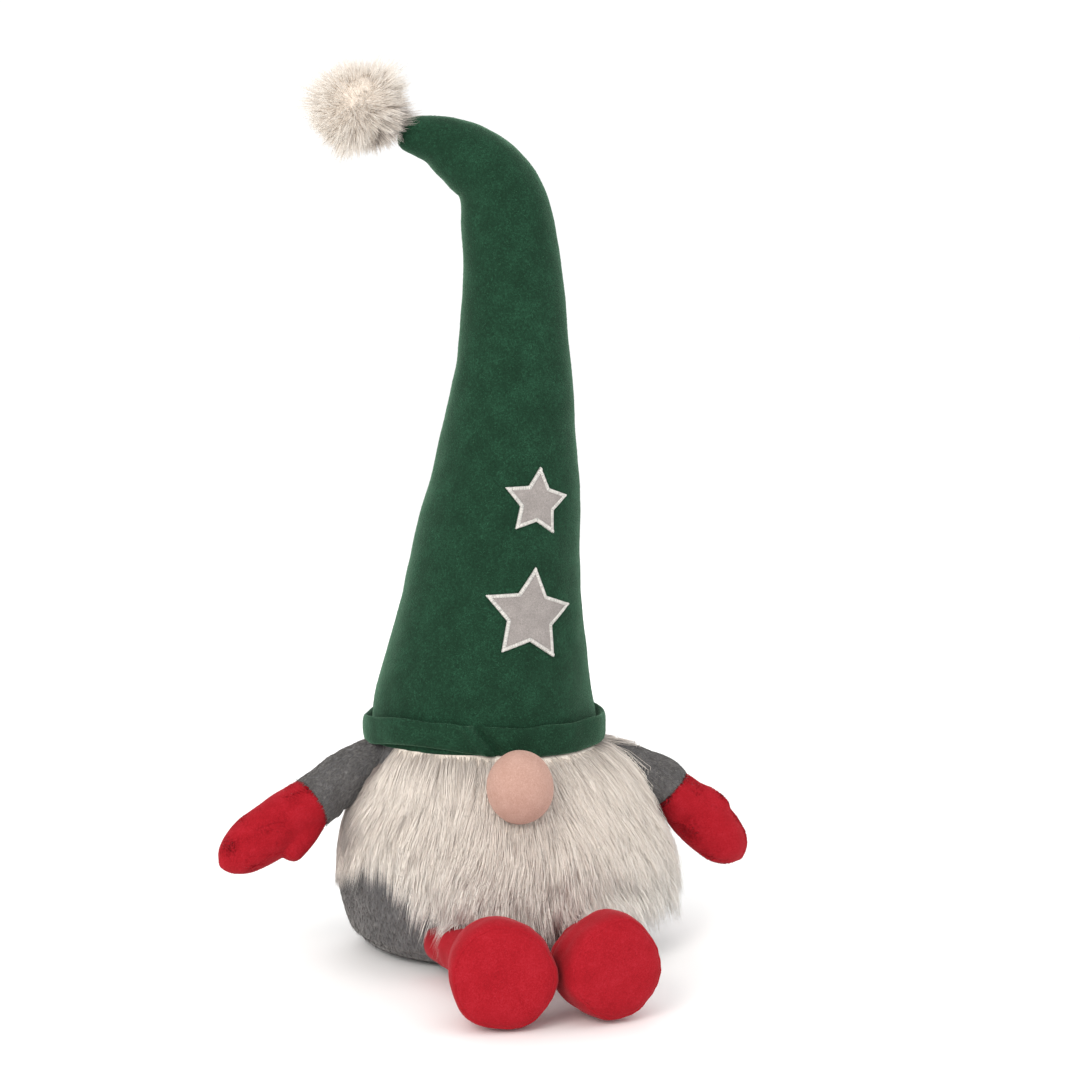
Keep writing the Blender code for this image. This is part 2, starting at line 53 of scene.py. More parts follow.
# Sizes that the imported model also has, in metres
BASE_RADIUS, BODY_RADIUS, WIDEST_HEIGHT = 0.06, 0.095, 0.045
NECK_RADIUS, NECK_HEIGHT, TOP_RADIUS, TOP_HEIGHT = 0.071, 0.14, 0.045, 0.158
NOSE_CENTRE, NOSE_RADII = Vector((-0.0025, -0.1025, 0.124)), Vector((0.021, 0.019, 0.0226))
HAT_RUN = (  # (sideways, height, radius) from the brim up, over the bend and down to the pompom
    (0.0, 0.139, 0.0745), (0.0, 0.162, 0.0735), (0.002, 0.19, 0.067),
    (0.005, 0.228, 0.0595), (0.009, 0.262, 0.055), (0.0135, 0.294, 0.0515),
    (0.0165, 0.328, 0.0462), (0.019, 0.36, 0.041), (0.0205, 0.395, 0.0362),
    (0.0205, 0.43, 0.0332), (0.0185, 0.462, 0.031), (0.0135, 0.487, 0.0292),
    (0.0035, 0.507, 0.0258), (-0.0085, 0.5175, 0.0228), (-0.0215, 0.5248, 0.0192),
    (-0.036, 0.5302, 0.0148), (-0.05, 0.5325, 0.0108), (-0.0545, 0.533, 0.008),
    (-0.0556, 0.5331, 0.003),
)
HAT_BEND = (Vector((0.0185, 0, 0.466)), Vector((-0.004, 0, 0.514)))
POMPOM_PIVOT, POMPOM_CENTRE = Vector((-0.055, 0, 0.533)), Vector((-0.0825, 0, 0.5475))
POMPOM_BALL = 0.0225
BRIM_LOW, BRIM_HIGH = 0.1368, 0.156
STARS = (("large", 0.0062, 0.2252, 0.0308), ("small", 0.0143, 0.2969, 0.0226))
STAR_INNER = 0.53  # the radius of a star's inner corners, in radii of its tips
STAR_EDGE = 0.479  # how far its sides pass from its middle, in the same
STITCH_WIDTH, STITCH_PITCH, MITRE = 0.0024, 0.00042, 0.0026
SIDES = {"right": -1, "left": 1}
SLEEVES = {  # (away from the middle, height, radius) from inside the body to the wrist
    "right": ((0.064, 0.127, 0.015), (0.076, 0.1235, 0.0168), (0.0868, 0.119, 0.0172),
              (0.0978, 0.1139, 0.017), (0.1075, 0.1082, 0.0172), (0.1158, 0.1032, 0.0174),
              (0.1175, 0.1022, 0.0166)),
    "left": ((0.064, 0.1195, 0.015), (0.076, 0.118, 0.0162), (0.088, 0.1155, 0.0165),
             (0.0985, 0.1122, 0.0162), (0.109, 0.1084, 0.0158), (0.12, 0.104, 0.0152),
             (0.1262, 0.0982, 0.0146)),
}
LAST_BENDS = {"right": (0.1125, 0.105), "left": (0.12, 0.1045)}
SHOULDER_Y, ARM_FORWARD = -0.004, -0.25
MITTEN_LENGTHS, MITTEN_FLAT = {"right": 0.073, "left": 0.067}, 0.78
HIP = Vector((0.045, -0.0885, 0.022))
LEG_RADIUS = 0.014
BOOT_CENTRES = {"right": Vector((-0.0385, -0.191, 0.0322)),
                "left": Vector((0.025, -0.191, 0.0322))}
BOOT_TURN = {"right": math.radians(-6), "left": math.radians(10)}
CAMERA_TURN, CAMERA_DISTANCE, CAMERA_HEIGHT = math.radians(-14), 1.6, 0.42
AIM = Vector((0.0359, -0.009, 0.2688))
FLOOR_RADIUS = 40.0
BEARD_STRANDS = 33000
MOST_PUSHED = 0.014  # a strand that a limb would push further than this is left out


# ---------------- camera, light and floor

def set_the_stage():
    camera = put("camera", bpy.data.cameras.new("camera"))
    camera.data.sensor_width = 36
    camera.data.lens = 81.3
    camera.location = (math.sin(CAMERA_TURN) * CAMERA_DISTANCE,
                       -math.cos(CAMERA_TURN) * CAMERA_DISTANCE, CAMERA_HEIGHT)
    camera.rotation_euler = (AIM - camera.location).to_track_quat("-Z", "Y").to_euler()
    bpy.context.scene.camera = camera

    for name, spot, size, power, tint in (
            ("key_softbox", (-1.5, -1.9, 1.45), 1.3, 33, "#fffaf4"),
            ("fill_softbox", (1.2, -1.9, 0.35), 1.6, 6, "#fbfcff"),
            ("back_softbox", (0.3, 1.8, 1.5), 1.6, 10, "#ffffff")):
        lamp = bpy.data.lights.new(name, "AREA")
        lamp.shape, lamp.size, lamp.energy = "DISK", size, power
        lamp.color = linear(tint)[:3]
        softbox = put(name, lamp)
        softbox.location = spot
        turn = (Vector((0, 0, 0.25)) - softbox.location).to_track_quat("-Z", "Y")
        softbox.rotation_euler = turn.to_euler()

    world = bpy.data.worlds.new("white_room")
    world.use_nodes = True
    light = world.node_tree.nodes["Background"].inputs
    light["Color"].default_value, light["Strength"].default_value = (1, 1, 1, 1), 1.06
    bpy.context.scene.world = world
    bpy.context.scene.view_settings.view_transform = "Standard"

    work = bmesh.new()
    bmesh.ops.create_circle(work, cap_ends=True, segments=96, radius=FLOOR_RADIUS)
    thing_of("floor", work, floor_paper())


# ---------------- materials

def linear(code):
    """The linear colour of an sRGB hex value."""
    parts = [int(code[i:i + 2], 16) / 255 for i in (1, 3, 5)]
    parts = [p / 12.92 if p <= 0.04045 else ((p + 0.055) / 1.055) ** 2.4 for p in parts]
    return (*parts, 1.0)


def add(tree, kind, inputs=None, **settings):
    """A node with its settings, and its inputs' values or links."""
    made = tree.nodes.new("ShaderNode" + kind)
    for name, value in settings.items():
        setattr(made, name, value)
    for name, value in (inputs or {}).items():
        if isinstance(value, bpy.types.NodeSocket):
            tree.links.new(value, made.inputs[name])
        else:
            made.inputs[name].default_value = value
    return made


def colour(tree, shader, share, places, shades):
    """Colours the shader by a share from 0 to 1, with a shade at each place on the way."""
    ramp = add(tree, "ValToRGB", {"Fac": share})
    stops = ramp.color_ramp.elements
    first, *between, last = zip(places, shades)
    for number, (place, shade) in enumerate((first, last, *between)):
        stop = stops[number] if number < 2 else stops.new(place)
        stop.position, stop.color = place, linear(shade)
    tree.links.new(ramp.outputs["Color"], shader.inputs["Base Color"])


def emboss(tree, shader, height, rise, strength):
    relief = add(tree, "Bump", {"Height": height, "Distance": rise, "Strength": strength})
    tree.links.new(relief.outputs["Normal"], shader.inputs["Normal"])


def start_material(name, roughness, **sockets):
    material = bpy.data.materials.new(name)
    material.use_nodes = True
    tree = material.node_tree
    shader = tree.nodes["Principled BSDF"]
    shader.inputs["Roughness"].default_value = roughness
    for socket, value in sockets.items():
        shader.inputs[socket.replace("_", " ")].default_value = value
    return material, tree, shader


def floor_paper():
    """Seamless studio paper: matt and white, with a faint unevenness."""
    material, tree, shader = start_material("studio_paper", 0.9)
    spot = add(tree, "TexCoord").outputs["Object"]
    cloud = add(tree, "TexNoise", {"Vector": spot, "Scale": 3.0}).outputs["Fac"]
    colour(tree, shader, cloud, (0.3, 0.7), ("#fbfbfa", "#fefefe"))
    return material


def pile_cloth(name, shades, patch, nap, stretch, rise, roughness, **sockets):
    """Cloth with a fibrous face. shades run from its hollows to its fibre tips, patch and nap are
    the sizes in metres of its cloudy areas and its fibres, and rise is the fibres' height."""
    material, tree, shader = start_material(name, roughness, **sockets)
    spot = add(tree, "TexCoord").outputs["Object"]
    spun = add(tree, "Mapping", {"Vector": spot, "Scale": stretch}).outputs["Vector"]
    cloud = add(tree, "TexNoise", {"Vector": spot, "Scale": 1 / patch, "Detail": 2.0})
    fibre = add(tree, "TexNoise", {"Vector": spun, "Scale": 1 / nap, "Detail": 5.0,
                                   "Roughness": 0.62, "Distortion": 1.4})
    both = add(tree, "Mix", {"Factor": 0.78, 2: cloud.outputs["Fac"], 3: fibre.outputs["Fac"]})
    colour(tree, shader, both.outputs[0], (0.34, 0.5, 0.66), shades)
    emboss(tree, shader, fibre.outputs["Fac"], rise, 0.6)
    return material


def hair(name, shades, roughness, **sockets):
    """Single fibres: the shade kept on each goes from its root in the dark to its lit tip."""
    material, tree, shader = start_material(name, roughness, **sockets)
    shade = add(tree, "Attribute", attribute_name="shade").outputs["Fac"]
    colour(tree, shader, shade, (0.0, 0.5, 1.0), shades)
    return material


WAVES_PER_METRE = 0.314  # the wave texture's scale for one wave in a metre


def woven_cloth(name, shades, pitch, roughness):
    """Plain-woven cotton: two sets of threads cross at the pitch, over and under."""
    material, tree, shader = start_material(name, roughness)
    spot = add(tree, "TexCoord").outputs["Object"]
    across, along = (
        add(tree, "TexWave", {"Vector": spot, "Scale": WAVES_PER_METRE / pitch, "Distortion": 0.6},
            bands_direction=direction).outputs["Fac"] for direction in ("X", "Z"))
    over = add(tree, "Math", {0: across, 1: along}, operation="MAXIMUM").outputs[0]
    colour(tree, shader, over, (0.2, 0.9), shades)
    emboss(tree, shader, over, 0.0003, 0.5)
    return material


def drawn_steel():
    """Bright drawn wire: fine lines along it, hardly dulled."""
    material, tree, shader = start_material("drawn_steel", 0.35, Metallic=1.0)
    spot = add(tree, "TexCoord").outputs["Object"]
    drawn = add(tree, "Mapping", {"Vector": spot, "Scale": (1, 1, 0.02)}).outputs["Vector"]
    lines = add(tree, "TexNoise", {"Vector": drawn, "Scale": 6000.0}).outputs["Fac"]
    colour(tree, shader, lines, (0.3, 0.7), ("#a9abad", "#cdcfd0"))
    return material


# Needled felt: short fibres matted in every direction, so it is quite matt, mottled at about a
# millimetre, and pale along its edges, where the fibres stand up.
GREEN_FELT = pile_cloth("green_felt", ("#10271a", "#163323", "#274f3a"), 0.014, 0.0011,
                        (1, 1, 1), 0.0006, 0.95, Sheen_Weight=0.7, Sheen_Roughness=0.32,
                        Sheen_Tint=linear("#8fc0a0"), Specular_IOR_Level=0.15)
GREEN_FIBRE = hair("green_felt_fibre", ("#204632", "#336549", "#5c9173"), 0.9,
                   Specular_IOR_Level=0.15)
GREY_FELT = pile_cloth("grey_felt", ("#7b7572", "#918b88", "#a59e9a"), 0.008, 0.0009,
                       (1, 1, 1), 0.0004, 0.95, Sheen_Weight=0.1, Specular_IOR_Level=0.15)
# Knitted plush: a brushed pile of 4 mm that lies downwards in streaks and swirls.
GREY_PLUSH = pile_cloth("grey_plush", ("#454445", "#5c5b5c", "#777574"), 0.014, 0.0016,
                        (1, 1, 0.35), 0.0008, 0.95, Sheen_Weight=0.6, Sheen_Roughness=0.35,
                        Sheen_Tint=linear("#cfcac4"), Specular_IOR_Level=0.15)
GREY_PILE = hair("grey_plush_pile", ("#454443", "#6b6968", "#a9a5a1"), 0.85,
                 Specular_IOR_Level=0.2)
# Velboa: a shorn pile of 1 mm, soft and even, which shows paler where it is seen edge on.
RED_PLUSH = pile_cloth("red_plush", ("#880e19", "#9c131f", "#a92330"), 0.011, 0.0009,
                       (1, 1, 1), 0.0003, 0.9, Sheen_Weight=0.2, Sheen_Roughness=0.35,
                       Sheen_Tint=linear("#ff9aa0"), Specular_IOR_Level=0.15)
RED_PILE = hair("red_plush_pile", ("#8c0f1a", "#a51824", "#c03a46"), 0.85,
                Specular_IOR_Level=0.2)
SKIN_PLUSH = pile_cloth("skin_plush", ("#a98374", "#b59184", "#c29f92"), 0.009, 0.0008,
                        (1, 1, 0.6), 0.0003, 0.9, Sheen_Weight=0.25, Sheen_Roughness=0.4,
                        Sheen_Tint=linear("#ffdccd"), Specular_IOR_Level=0.15)
SKIN_PILE = hair("skin_plush_pile", ("#ac8576", "#ba9688", "#ccac9f"), 0.85,
                 Specular_IOR_Level=0.2)
# Long-pile acrylic fur: glossy enough for soft lights along each lock.
CREAM_FUR = hair("cream_fur", ("#9c8f89", "#f6ede3", "#fffcf6"), 0.6, Specular_IOR_Level=0.25,
                 Sheen_Weight=0.2)
FUR_GROUND = pile_cloth("fur_ground", ("#ddd1c4", "#ece1d5", "#f7eee4"), 0.006, 0.0012,
                        (1, 1, 0.4), 0.0006, 0.95)
# Rayon embroidery thread: a bright line along each stitch.
SATIN_THREAD = hair("satin_thread", ("#a5a3a0", "#c8c5c0", "#dfdcd6"), 0.42,
                    Specular_IOR_Level=0.5, Sheen_Weight=0.2)
FIBRE_FILLING = pile_cloth("fibre_filling", ("#cfcfca", "#e2e2de", "#f2f2ef"), 0.01, 0.0012,
                           (1, 1, 1), 0.0012, 1.0)
BAG_CLOTH = woven_cloth("pellet_bag_cloth", ("#a79d8b", "#cfc6b5"), 0.0008, 0.85)
DRAWN_STEEL = drawn_steel()


# ---------------- making cloth and hair

def put(name, data):
    thing = bpy.data.objects.new(name, data)
    bpy.context.scene.collection.objects.link(thing)
    return thing


def thing_of(name, work, material):
    mesh = bpy.data.meshes.new(name)
    work.to_mesh(mesh)
    work.free()
    mesh.materials.append(material)
    mesh.shade_smooth()
    return put(name, mesh)


def cloth(columns, rows, place):
    """A grid of cloth laid by place(round, along), each from 0 to 1, with its edges joined."""
    work = bmesh.new()
    bmesh.ops.create_grid(work, x_segments=columns, y_segments=rows, size=0.5)
    for corner in work.verts:
        corner.co = place(corner.co.x + 0.5, corner.co.y + 0.5)
    bmesh.ops.remove_doubles(work, verts=work.verts[:], dist=0.000004)
    bmesh.ops.recalc_face_normals(work, faces=work.faces[:])
    return work


def thicken(piece, name, thickness, offset=-1.0):
    """Cloth's thickness, inwards from its face, or to both sides with an offset of 0."""
    wall = piece.modifiers.new(name, "SOLIDIFY")
    wall.thickness, wall.offset = thickness, offset


def on_run(run, share):
    """The values at a share of a run of stations, on a smooth curve through them."""
    place = min(max(share, 0.0), 0.99999) * (len(run) - 1)
    first = int(place)
    t = place - first
    a, b, c, d = (np.array(run[min(max(first + k, 0), len(run) - 1)]) for k in (-1, 0, 1, 2))
    return 0.5 * (2 * b + (c - a) * t + (2 * a - 5 * b + 4 * c - d) * t * t
                  + (3 * b - a - 3 * c + d) * t ** 3)


def stuffed_tube(run, across, shape):
    """Lays a tube round a run of (x, y, z, radius). shape(angle, along, radius, point) gives
    how far the cloth stands out or in, and angle 0 is on the side that across points to."""
    def place(round_, along):
        here = on_run(run, along)
        ahead = on_run(run, min(along + 0.004, 1.0)) - on_run(run, max(along - 0.004, 0.0))
        forward = Vector(ahead[:3]).normalized()
        side = (across - across.dot(forward) * forward).normalized()
        up = forward.cross(side)
        angle = round_ * math.tau
        out = math.cos(angle) * side + math.sin(angle) * up
        point = Vector(here[:3]) + out * max(here[3], 0.0)
        return point + out * shape(angle, along, max(here[3], 0.0), point)
    return place


def lumps(point, size, height, seed=0.0):
    """The unevenness of stuffing under cloth."""
    return height * noise.noise(point / size + Vector((seed, 1.7 * seed, -seed)))


def groove(offset, width, depth):
    """A sewn line's dip with a soft roll on each side, at an offset from the line."""
    near = offset / width
    return depth * (-math.exp(-near * near) + 0.45 * math.exp(-(abs(near) - 2.2) ** 2))


def mesh_arrays(mesh):
    """A mesh's points and its triangles' corners."""
    mesh.calc_loop_triangles()
    points = np.empty(len(mesh.vertices) * 3)
    mesh.vertices.foreach_get("co", points)
    corners = np.empty(len(mesh.loop_triangles) * 3, int)
    mesh.loop_triangles.foreach_get("vertices", corners)
    return points.reshape(-1, 3), corners.reshape(-1, 3)


def hair_form(rings, sides):
    """One hair: rings of corners from its root, closed at its root and drawn to a point."""
    work = bmesh.new()
    bmesh.ops.create_circle(work, segments=sides, radius=1.0, cap_ends=True)
    edges = work.edges[:]
    for ring in range(1, rings):
        grown = bmesh.ops.extrude_edge_only(work, edges=edges)["geom"]
        corners = [part for part in grown if isinstance(part, bmesh.types.BMVert)]
        edges = [part for part in grown if isinstance(part, bmesh.types.BMEdge)
                 and all(end in corners for end in part.verts)]
        bmesh.ops.translate(work, verts=corners, vec=(0, 0, 1))
    bmesh.ops.pointmerge(work, verts=corners, merge_co=(0, 0, rings - 1))
    bmesh.ops.recalc_face_normals(work, faces=work.faces[:])
    mesh = bpy.data.meshes.new("hair_form")
    work.to_mesh(mesh)
    work.free()
    form = mesh_arrays(mesh)
    bpy.data.meshes.remove(mesh)
    return form


def sizes_of(vectors):
    return np.linalg.norm(vectors, axis=-1, keepdims=True)


def unit(vectors):
    return vectors / np.maximum(sizes_of(vectors), 1e-12)


def hairs(name, lines, widths, shade, material, seed, sides=3):
    """A copy of the hair form bent along each line of points. widths is the half width at
    each ring, and shade is kept for each line and ring."""
    count, rings = lines.shape[:2]
    form, corners = hair_form(rings, sides)
    ring = np.rint(form[:, 2]).astype(int)
    forward = unit(np.gradient(lines, axis=1))
    loose = np.random.default_rng(seed).normal(size=(count, 1, 3))
    side = unit(np.cross(forward, loose))
    up = np.cross(forward, side)
    half = np.broadcast_to(widths, (count, rings))[..., None]
    points = (lines[:, ring] + half[:, ring] * (form[:, 0, None] * side[:, ring]
                                                + form[:, 1, None] * up[:, ring]))
    faces = corners + (np.arange(count) * len(form))[:, None, None]
    mesh = bpy.data.meshes.new(name)
    mesh.vertices.add(count * len(form))
    mesh.vertices.foreach_set("co", points.astype(np.float32).ravel())
    mesh.loops.add(faces.size)
    mesh.loops.foreach_set("vertex_index", faces.astype(np.int32).ravel())
    mesh.polygons.add(faces.size // 3)
    mesh.polygons.foreach_set("loop_start", np.arange(0, faces.size, 3, dtype=np.int32))
    mesh.update(calc_edges=True)
    kept = mesh.attributes.new("shade", "FLOAT", "POINT")
    kept.data.foreach_set("value", np.clip(shade[:, ring], 0, 1).astype(np.float32).ravel())
    mesh.materials.append(material)
    mesh.shade_smooth()
    return put(name, mesh)


def scatter(host, count, rng, keep=None):
    """Points and normals spread evenly over a piece of cloth, where keep(points) is true."""
    points, corners = mesh_arrays(host.data)
    a, b, c = points[corners].transpose(1, 0, 2)
    across = np.cross(b - a, c - a)
    area = np.linalg.norm(across, axis=1)
    if keep is not None:
        area = area * keep((a + b + c) / 3)
    face = rng.choice(len(area), count, p=area / area.sum())
    u, v = rng.random((2, count, 1))
    over = u + v > 1
    u, v = np.where(over, 1 - u, u), np.where(over, 1 - v, v)
    return a[face] + u * (b - a)[face] + v * (c - a)[face], unit(across)[face]


def nap(name, host, material, count, seed, length, width, lie, flow, stray=0.4, rings=2,
        swirl=0.012, keep=None):
    """Short fibres that stand on a piece of cloth: lie is how far they lean, from 0, upright,
    to 1, flat, and flow the way they lean, which wanders over patches of the swirl's size."""
    rng = np.random.default_rng(seed)
    roots, normals = scatter(host, count, rng, keep)
    wander = np.array([noise.noise_vector(Vector(root) / swirl) for root in roots])
    lean = np.array(flow, float) + 0.6 * wander + stray * rng.normal(size=(count, 3))
    lean = unit(lean - (lean * normals).sum(1, keepdims=True) * normals)
    share = np.linspace(0, 1, rings)[None, :, None]
    size = (length * rng.uniform(0.6, 1.15, count))[:, None, None]
    rise = normals[:, None] * (1 - lie) * share * (1.25 - 0.5 * share)
    reach = lean[:, None] * lie * share ** 1.2
    lines = roots[:, None] - 0.0002 * normals[:, None] + size * (rise + reach)
    # Painted shade darkens each fibre at its root and painted light brightens it towards its tip;
    # the rest of its tone differs at random.
    tone = 0.25 + 0.45 * share[..., 0] + rng.normal(0, 0.13, (count, 1))
    taper = np.linspace(1.0, 0.55, rings)
    return hairs(name, lines, 0.5 * width * taper, tone, material, seed + 1)


def velboa_nap(name, host, count, seed, flow, length=0.0013):
    return nap(name, host, RED_PILE, count, seed, length, 0.00019, 0.7, flow, stray=0.3,
               swirl=0.008)


def declare(piece, bodies, slot, *nodes, bend=None):
    """The piece rides on a body, or, where a bend is given, stays where it is with its transform
    baked in. It hides the CAD nodes it stands for; slot, a record's finish, is not used."""
    if bend:
        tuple(bend[0])
        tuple(bend[1])
        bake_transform(piece)
    else:
        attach(piece, bodies)
    if nodes:
        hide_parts(*nodes)


# ---------------- hat

def hat_shape(angle, along, radius, point):
    """The felt's slight waves, its back seam, and two soft folds inside the bend."""
    stand = lumps(point, 0.05, 0.0016) + lumps(point, 0.016, 0.0005, 3.0)
    from_seam = (angle - 0.5 * math.pi) * radius
    stand += groove(from_seam, 0.0016, 0.0011)
    inside = max(0.0, -math.cos(angle)) ** 2
    for fold, width, depth in ((0.62, 0.036, 0.003), (0.775, 0.022, 0.0014)):
        stand -= depth * inside * math.exp(-((along - fold) / width) ** 2)
    return stand * min(1.0, radius / 0.012)


def close_to(seam, share):
    """Spaces a turn's columns closer together near the seam."""
    return share - 0.62 * math.sin(math.tau * (share - seam)) / math.tau


def build_hat():
    run = [(x, 0.0, z, radius) for x, z, radius in HAT_RUN]
    run.append((-0.0557, 0.0, 0.5331, 0.0))
    lay = stuffed_tube(run, Vector((1, 0, 0)), hat_shape)
    work = cloth(150, 200, lambda round_, along: lay(close_to(0.25, round_), along))
    tree = BVHTree.FromBMesh(work)
    felt = thing_of("hat_felt", work, GREEN_FELT)
    thicken(felt, "felt_thickness", 0.0013)
    bodies = ("gnome", "hat_end")
    fuzz = nap("hat_fibres", felt, GREEN_FIBRE, 15000, 11, 0.0036, 0.00014, 0.86, (0, 0, 0),
               stray=1.0, rings=3, swirl=0.004)
    declare(felt, bodies, "green_felt", "hat_cone", "hat_tip", bend=HAT_BEND)
    declare(fuzz, bodies, "green_felt", bend=HAT_BEND)
    return tree


def build_brim():
    """The turned-up edge: a folded band with a rounded lip that stands off the hat, and a
    slanting dent where its ends meet over the nose."""
    section = ((0.0742, 0.16), (0.0752, 0.04), (0.0774, 0.0), (0.0792, 0.09), (0.0801, 0.3),
               (0.0802, 0.58), (0.0799, 0.84), (0.0792, 0.97), (0.0781, 1.0), (0.0771, 0.93),
               (0.0764, 0.72), (0.0758, 0.5), (0.0747, 0.34))
    loop = [section[-1], *section, section[0], section[1]]

    def place(round_, along):
        here = on_run(loop, (1 + along * len(section)) / (len(loop) - 1))
        turn = math.tau * round_ - math.pi
        seen = (math.degrees(turn - CAMERA_TURN) + 180) % 360 - 180
        lift = (0.0066 - 0.0026 * here[1]) * math.exp(-((seen + 34) / 33) ** 2)
        lift -= 0.0022 * math.exp(-((seen + 95) / 26) ** 2)
        height = BRIM_LOW + (BRIM_HIGH - BRIM_LOW) * here[1] + lift
        front = Vector((math.sin(turn), -math.cos(turn), 0.0))
        point = front * here[0] + Vector((0, 0, height))
        outer = min(1.0, max(0.0, (here[0] - 0.075) / 0.003))
        dent = seen - (7.0 - 12.0 * here[1])
        dent /= 4.0 if dent > 0 else 2.0
        stand = lumps(point, 0.03, 0.0016) + lumps(point, 0.011, 0.0004, 5.0)
        stand -= 0.0054 * math.exp(-dent * dent)
        stand += 0.0034 * math.exp(-((dent + 2.3) / 1.3) ** 2)
        point += front * stand * outer
        point.z += lumps(point, 0.024, 0.0012, 2.0) * (0.4 + 0.6 * here[1])
        return point

    work = cloth(260, 40, place)
    band = thing_of("hat_brim_felt", work, GREEN_FELT)
    fuzz = nap("hat_brim_fibres", band, GREEN_FIBRE, 3200, 17, 0.0026, 0.00013, 0.8, (0, 0, 0),
               stray=1.0, rings=3, swirl=0.004)
    declare(band, "gnome", "green_felt", "hat_brim")
    declare(fuzz, "gnome", "green_felt")


def star_outline(radius):
    points = []
    for corner in range(10):
        reach = radius if corner % 2 == 0 else STAR_INNER * radius
        angle = math.radians(90 + 36 * corner)
        points.append(Vector((reach * math.cos(angle), reach * math.sin(angle), 0.0)))
    return points


def star_patch(name, outline, height, on_hat):
    """The felt, in triangles small enough to follow the hat, and a little inside its border."""
    work = bmesh.new()
    bmesh.ops.create_circle(work, cap_ends=False, segments=len(outline), radius=1.0)
    for corner, point in zip(work.verts, outline):
        corner.co = point
    bmesh.ops.contextual_create(work, geom=work.verts[:] + work.edges[:])
    bmesh.ops.poke(work, faces=work.faces[:])
    bmesh.ops.subdivide_edges(work, edges=work.edges[:], cuts=11, use_grid_fill=True)
    bmesh.ops.triangulate(work, faces=[face for face in work.faces if len(face.verts) > 4])
    for corner in work.verts:
        flat = corner.co.copy()
        corner.co = on_hat(flat * 0.97, 0.0008 + lumps(flat, 0.006, 0.0002, height * 50))
    bmesh.ops.recalc_face_normals(work, faces=work.faces[:])
    patch = thing_of(f"star_{name}_felt", work, GREY_FELT)
    thicken(patch, "felt_thickness", 0.0009, 0.0)
    return patch


def satin_stitches(name, outline, height, on_hat):
    """Threads laid side by side over the star's edge, which fan out round its corners."""
    rng = np.random.default_rng(int(height * 1000))
    lines, tones = [], []
    for corner, start in enumerate(outline):
        end = outline[(corner + 1) % len(outline)]
        edge = end - start
        square = Vector((edge.y, -edge.x, 0.0)).normalized()
        if square.dot(start) < 0:
            square = -square
        count = round(edge.length / STITCH_PITCH)
        for stitch in range(count):
            share = (stitch + 0.5) / count
            middle = start.lerp(end, share)
            turn_start = 0.55 * max(0.0, 1 - share * edge.length / MITRE)
            turn_end = 0.55 * max(0.0, 1 - (1 - share) * edge.length / MITRE)
            out = square.lerp(start.normalized(), turn_start).lerp(end.normalized(), turn_end)
            out = (out + Vector(rng.normal(0, 0.0707, 3))).normalized()
            out.z = 0.0
            width = STITCH_WIDTH * rng.uniform(0.95, 1.05)
            lines.append([on_hat(middle + out * width * (step - 0.42), lift)
                          for step, lift in ((0.5, 0.0003), (0.36, 0.0013), (0.0, 0.0017),
                                             (-0.36, 0.0014), (-0.5, 0.0004))])
            tones.append(rng.uniform(0.35, 0.95))
    # Each stitch is painted darker at its two ends, a painted shade where it goes into the felt,
    # and a little lighter over its top, a painted highlight; the tone of each differs at random.
    tones = np.array(tones)[:, None] * np.array([0.6, 1, 1.05, 1, 0.6])
    widths = np.array([0.8, 1, 1, 1, 0.8]) * 0.00027
    return hairs(f"star_{name}_stitches", np.array(lines), widths, tones, SATIN_THREAD, 5, sides=4)


def stitch_underlay(name, outline, radius, on_hat):
    """The padding stitches under the satin ones, so that no felt shows between threads."""
    work = bmesh.new()
    bmesh.ops.create_grid(work, x_segments=300, y_segments=4, size=0.5)
    for corner in work.verts:
        share = (corner.co.x + 0.5) * len(outline)
        first = min(int(share), len(outline) - 1)
        flat = outline[first].lerp(outline[(first + 1) % len(outline)], share - first)
        inset = 1 - (corner.co.y + 0.5) * 0.0021 / (STAR_EDGE * radius)
        corner.co = on_hat(flat * inset, 0.0011)
    bmesh.ops.remove_doubles(work, verts=work.verts[:], dist=0.00005)
    bmesh.ops.recalc_face_normals(work, faces=work.faces[:])
    ribbon = thing_of(f"star_{name}_underlay", work, SATIN_THREAD)
    thicken(ribbon, "thread_thickness", 0.0006, 0.0)
    return ribbon


def build_star(name, sideways, height, radius, hat):
    """A felt star laid on the hat, its edge covered by a band of satin stitches."""
    lay = (Matrix.Translation((sideways, 0, height))
           @ Matrix.Rotation(math.radians(10), 4, "Z") @ Matrix.Translation((0, -0.2, 0))
           @ Matrix.Rotation(math.radians(90), 4, "X") @ Matrix.Rotation(math.radians(-8), 4, "Z"))
    inwards = (lay.to_3x3() @ Vector((0, 0, -1))).normalized()

    def on_hat(flat, lift):
        spot, normal = hat.ray_cast(lay @ Vector((flat.x, flat.y, 0.0)), inwards)[:2]
        return spot + normal * lift

    outline = star_outline(radius)
    patch = star_patch(name, outline, height, on_hat)
    thread = satin_stitches(name, outline, height, on_hat)
    ribbon = stitch_underlay(name, outline, radius, on_hat)
    declare(patch, "gnome", "grey_felt", f"star_{name}_patch")
    declare(thread, "gnome", "satin_thread", f"star_{name}_border")
    declare(ribbon, "gnome", "satin_thread")


# ---------------- body and nose

def body_radius(height):
    """The stuffed bag's radius, which the hair follows down to the floor."""
    share = np.clip((height - WIDEST_HEIGHT) / (NECK_HEIGHT - WIDEST_HEIGHT), 0.0, 1.1)
    return NECK_RADIUS + (BODY_RADIUS - NECK_RADIUS) * (1 - share ** 2)


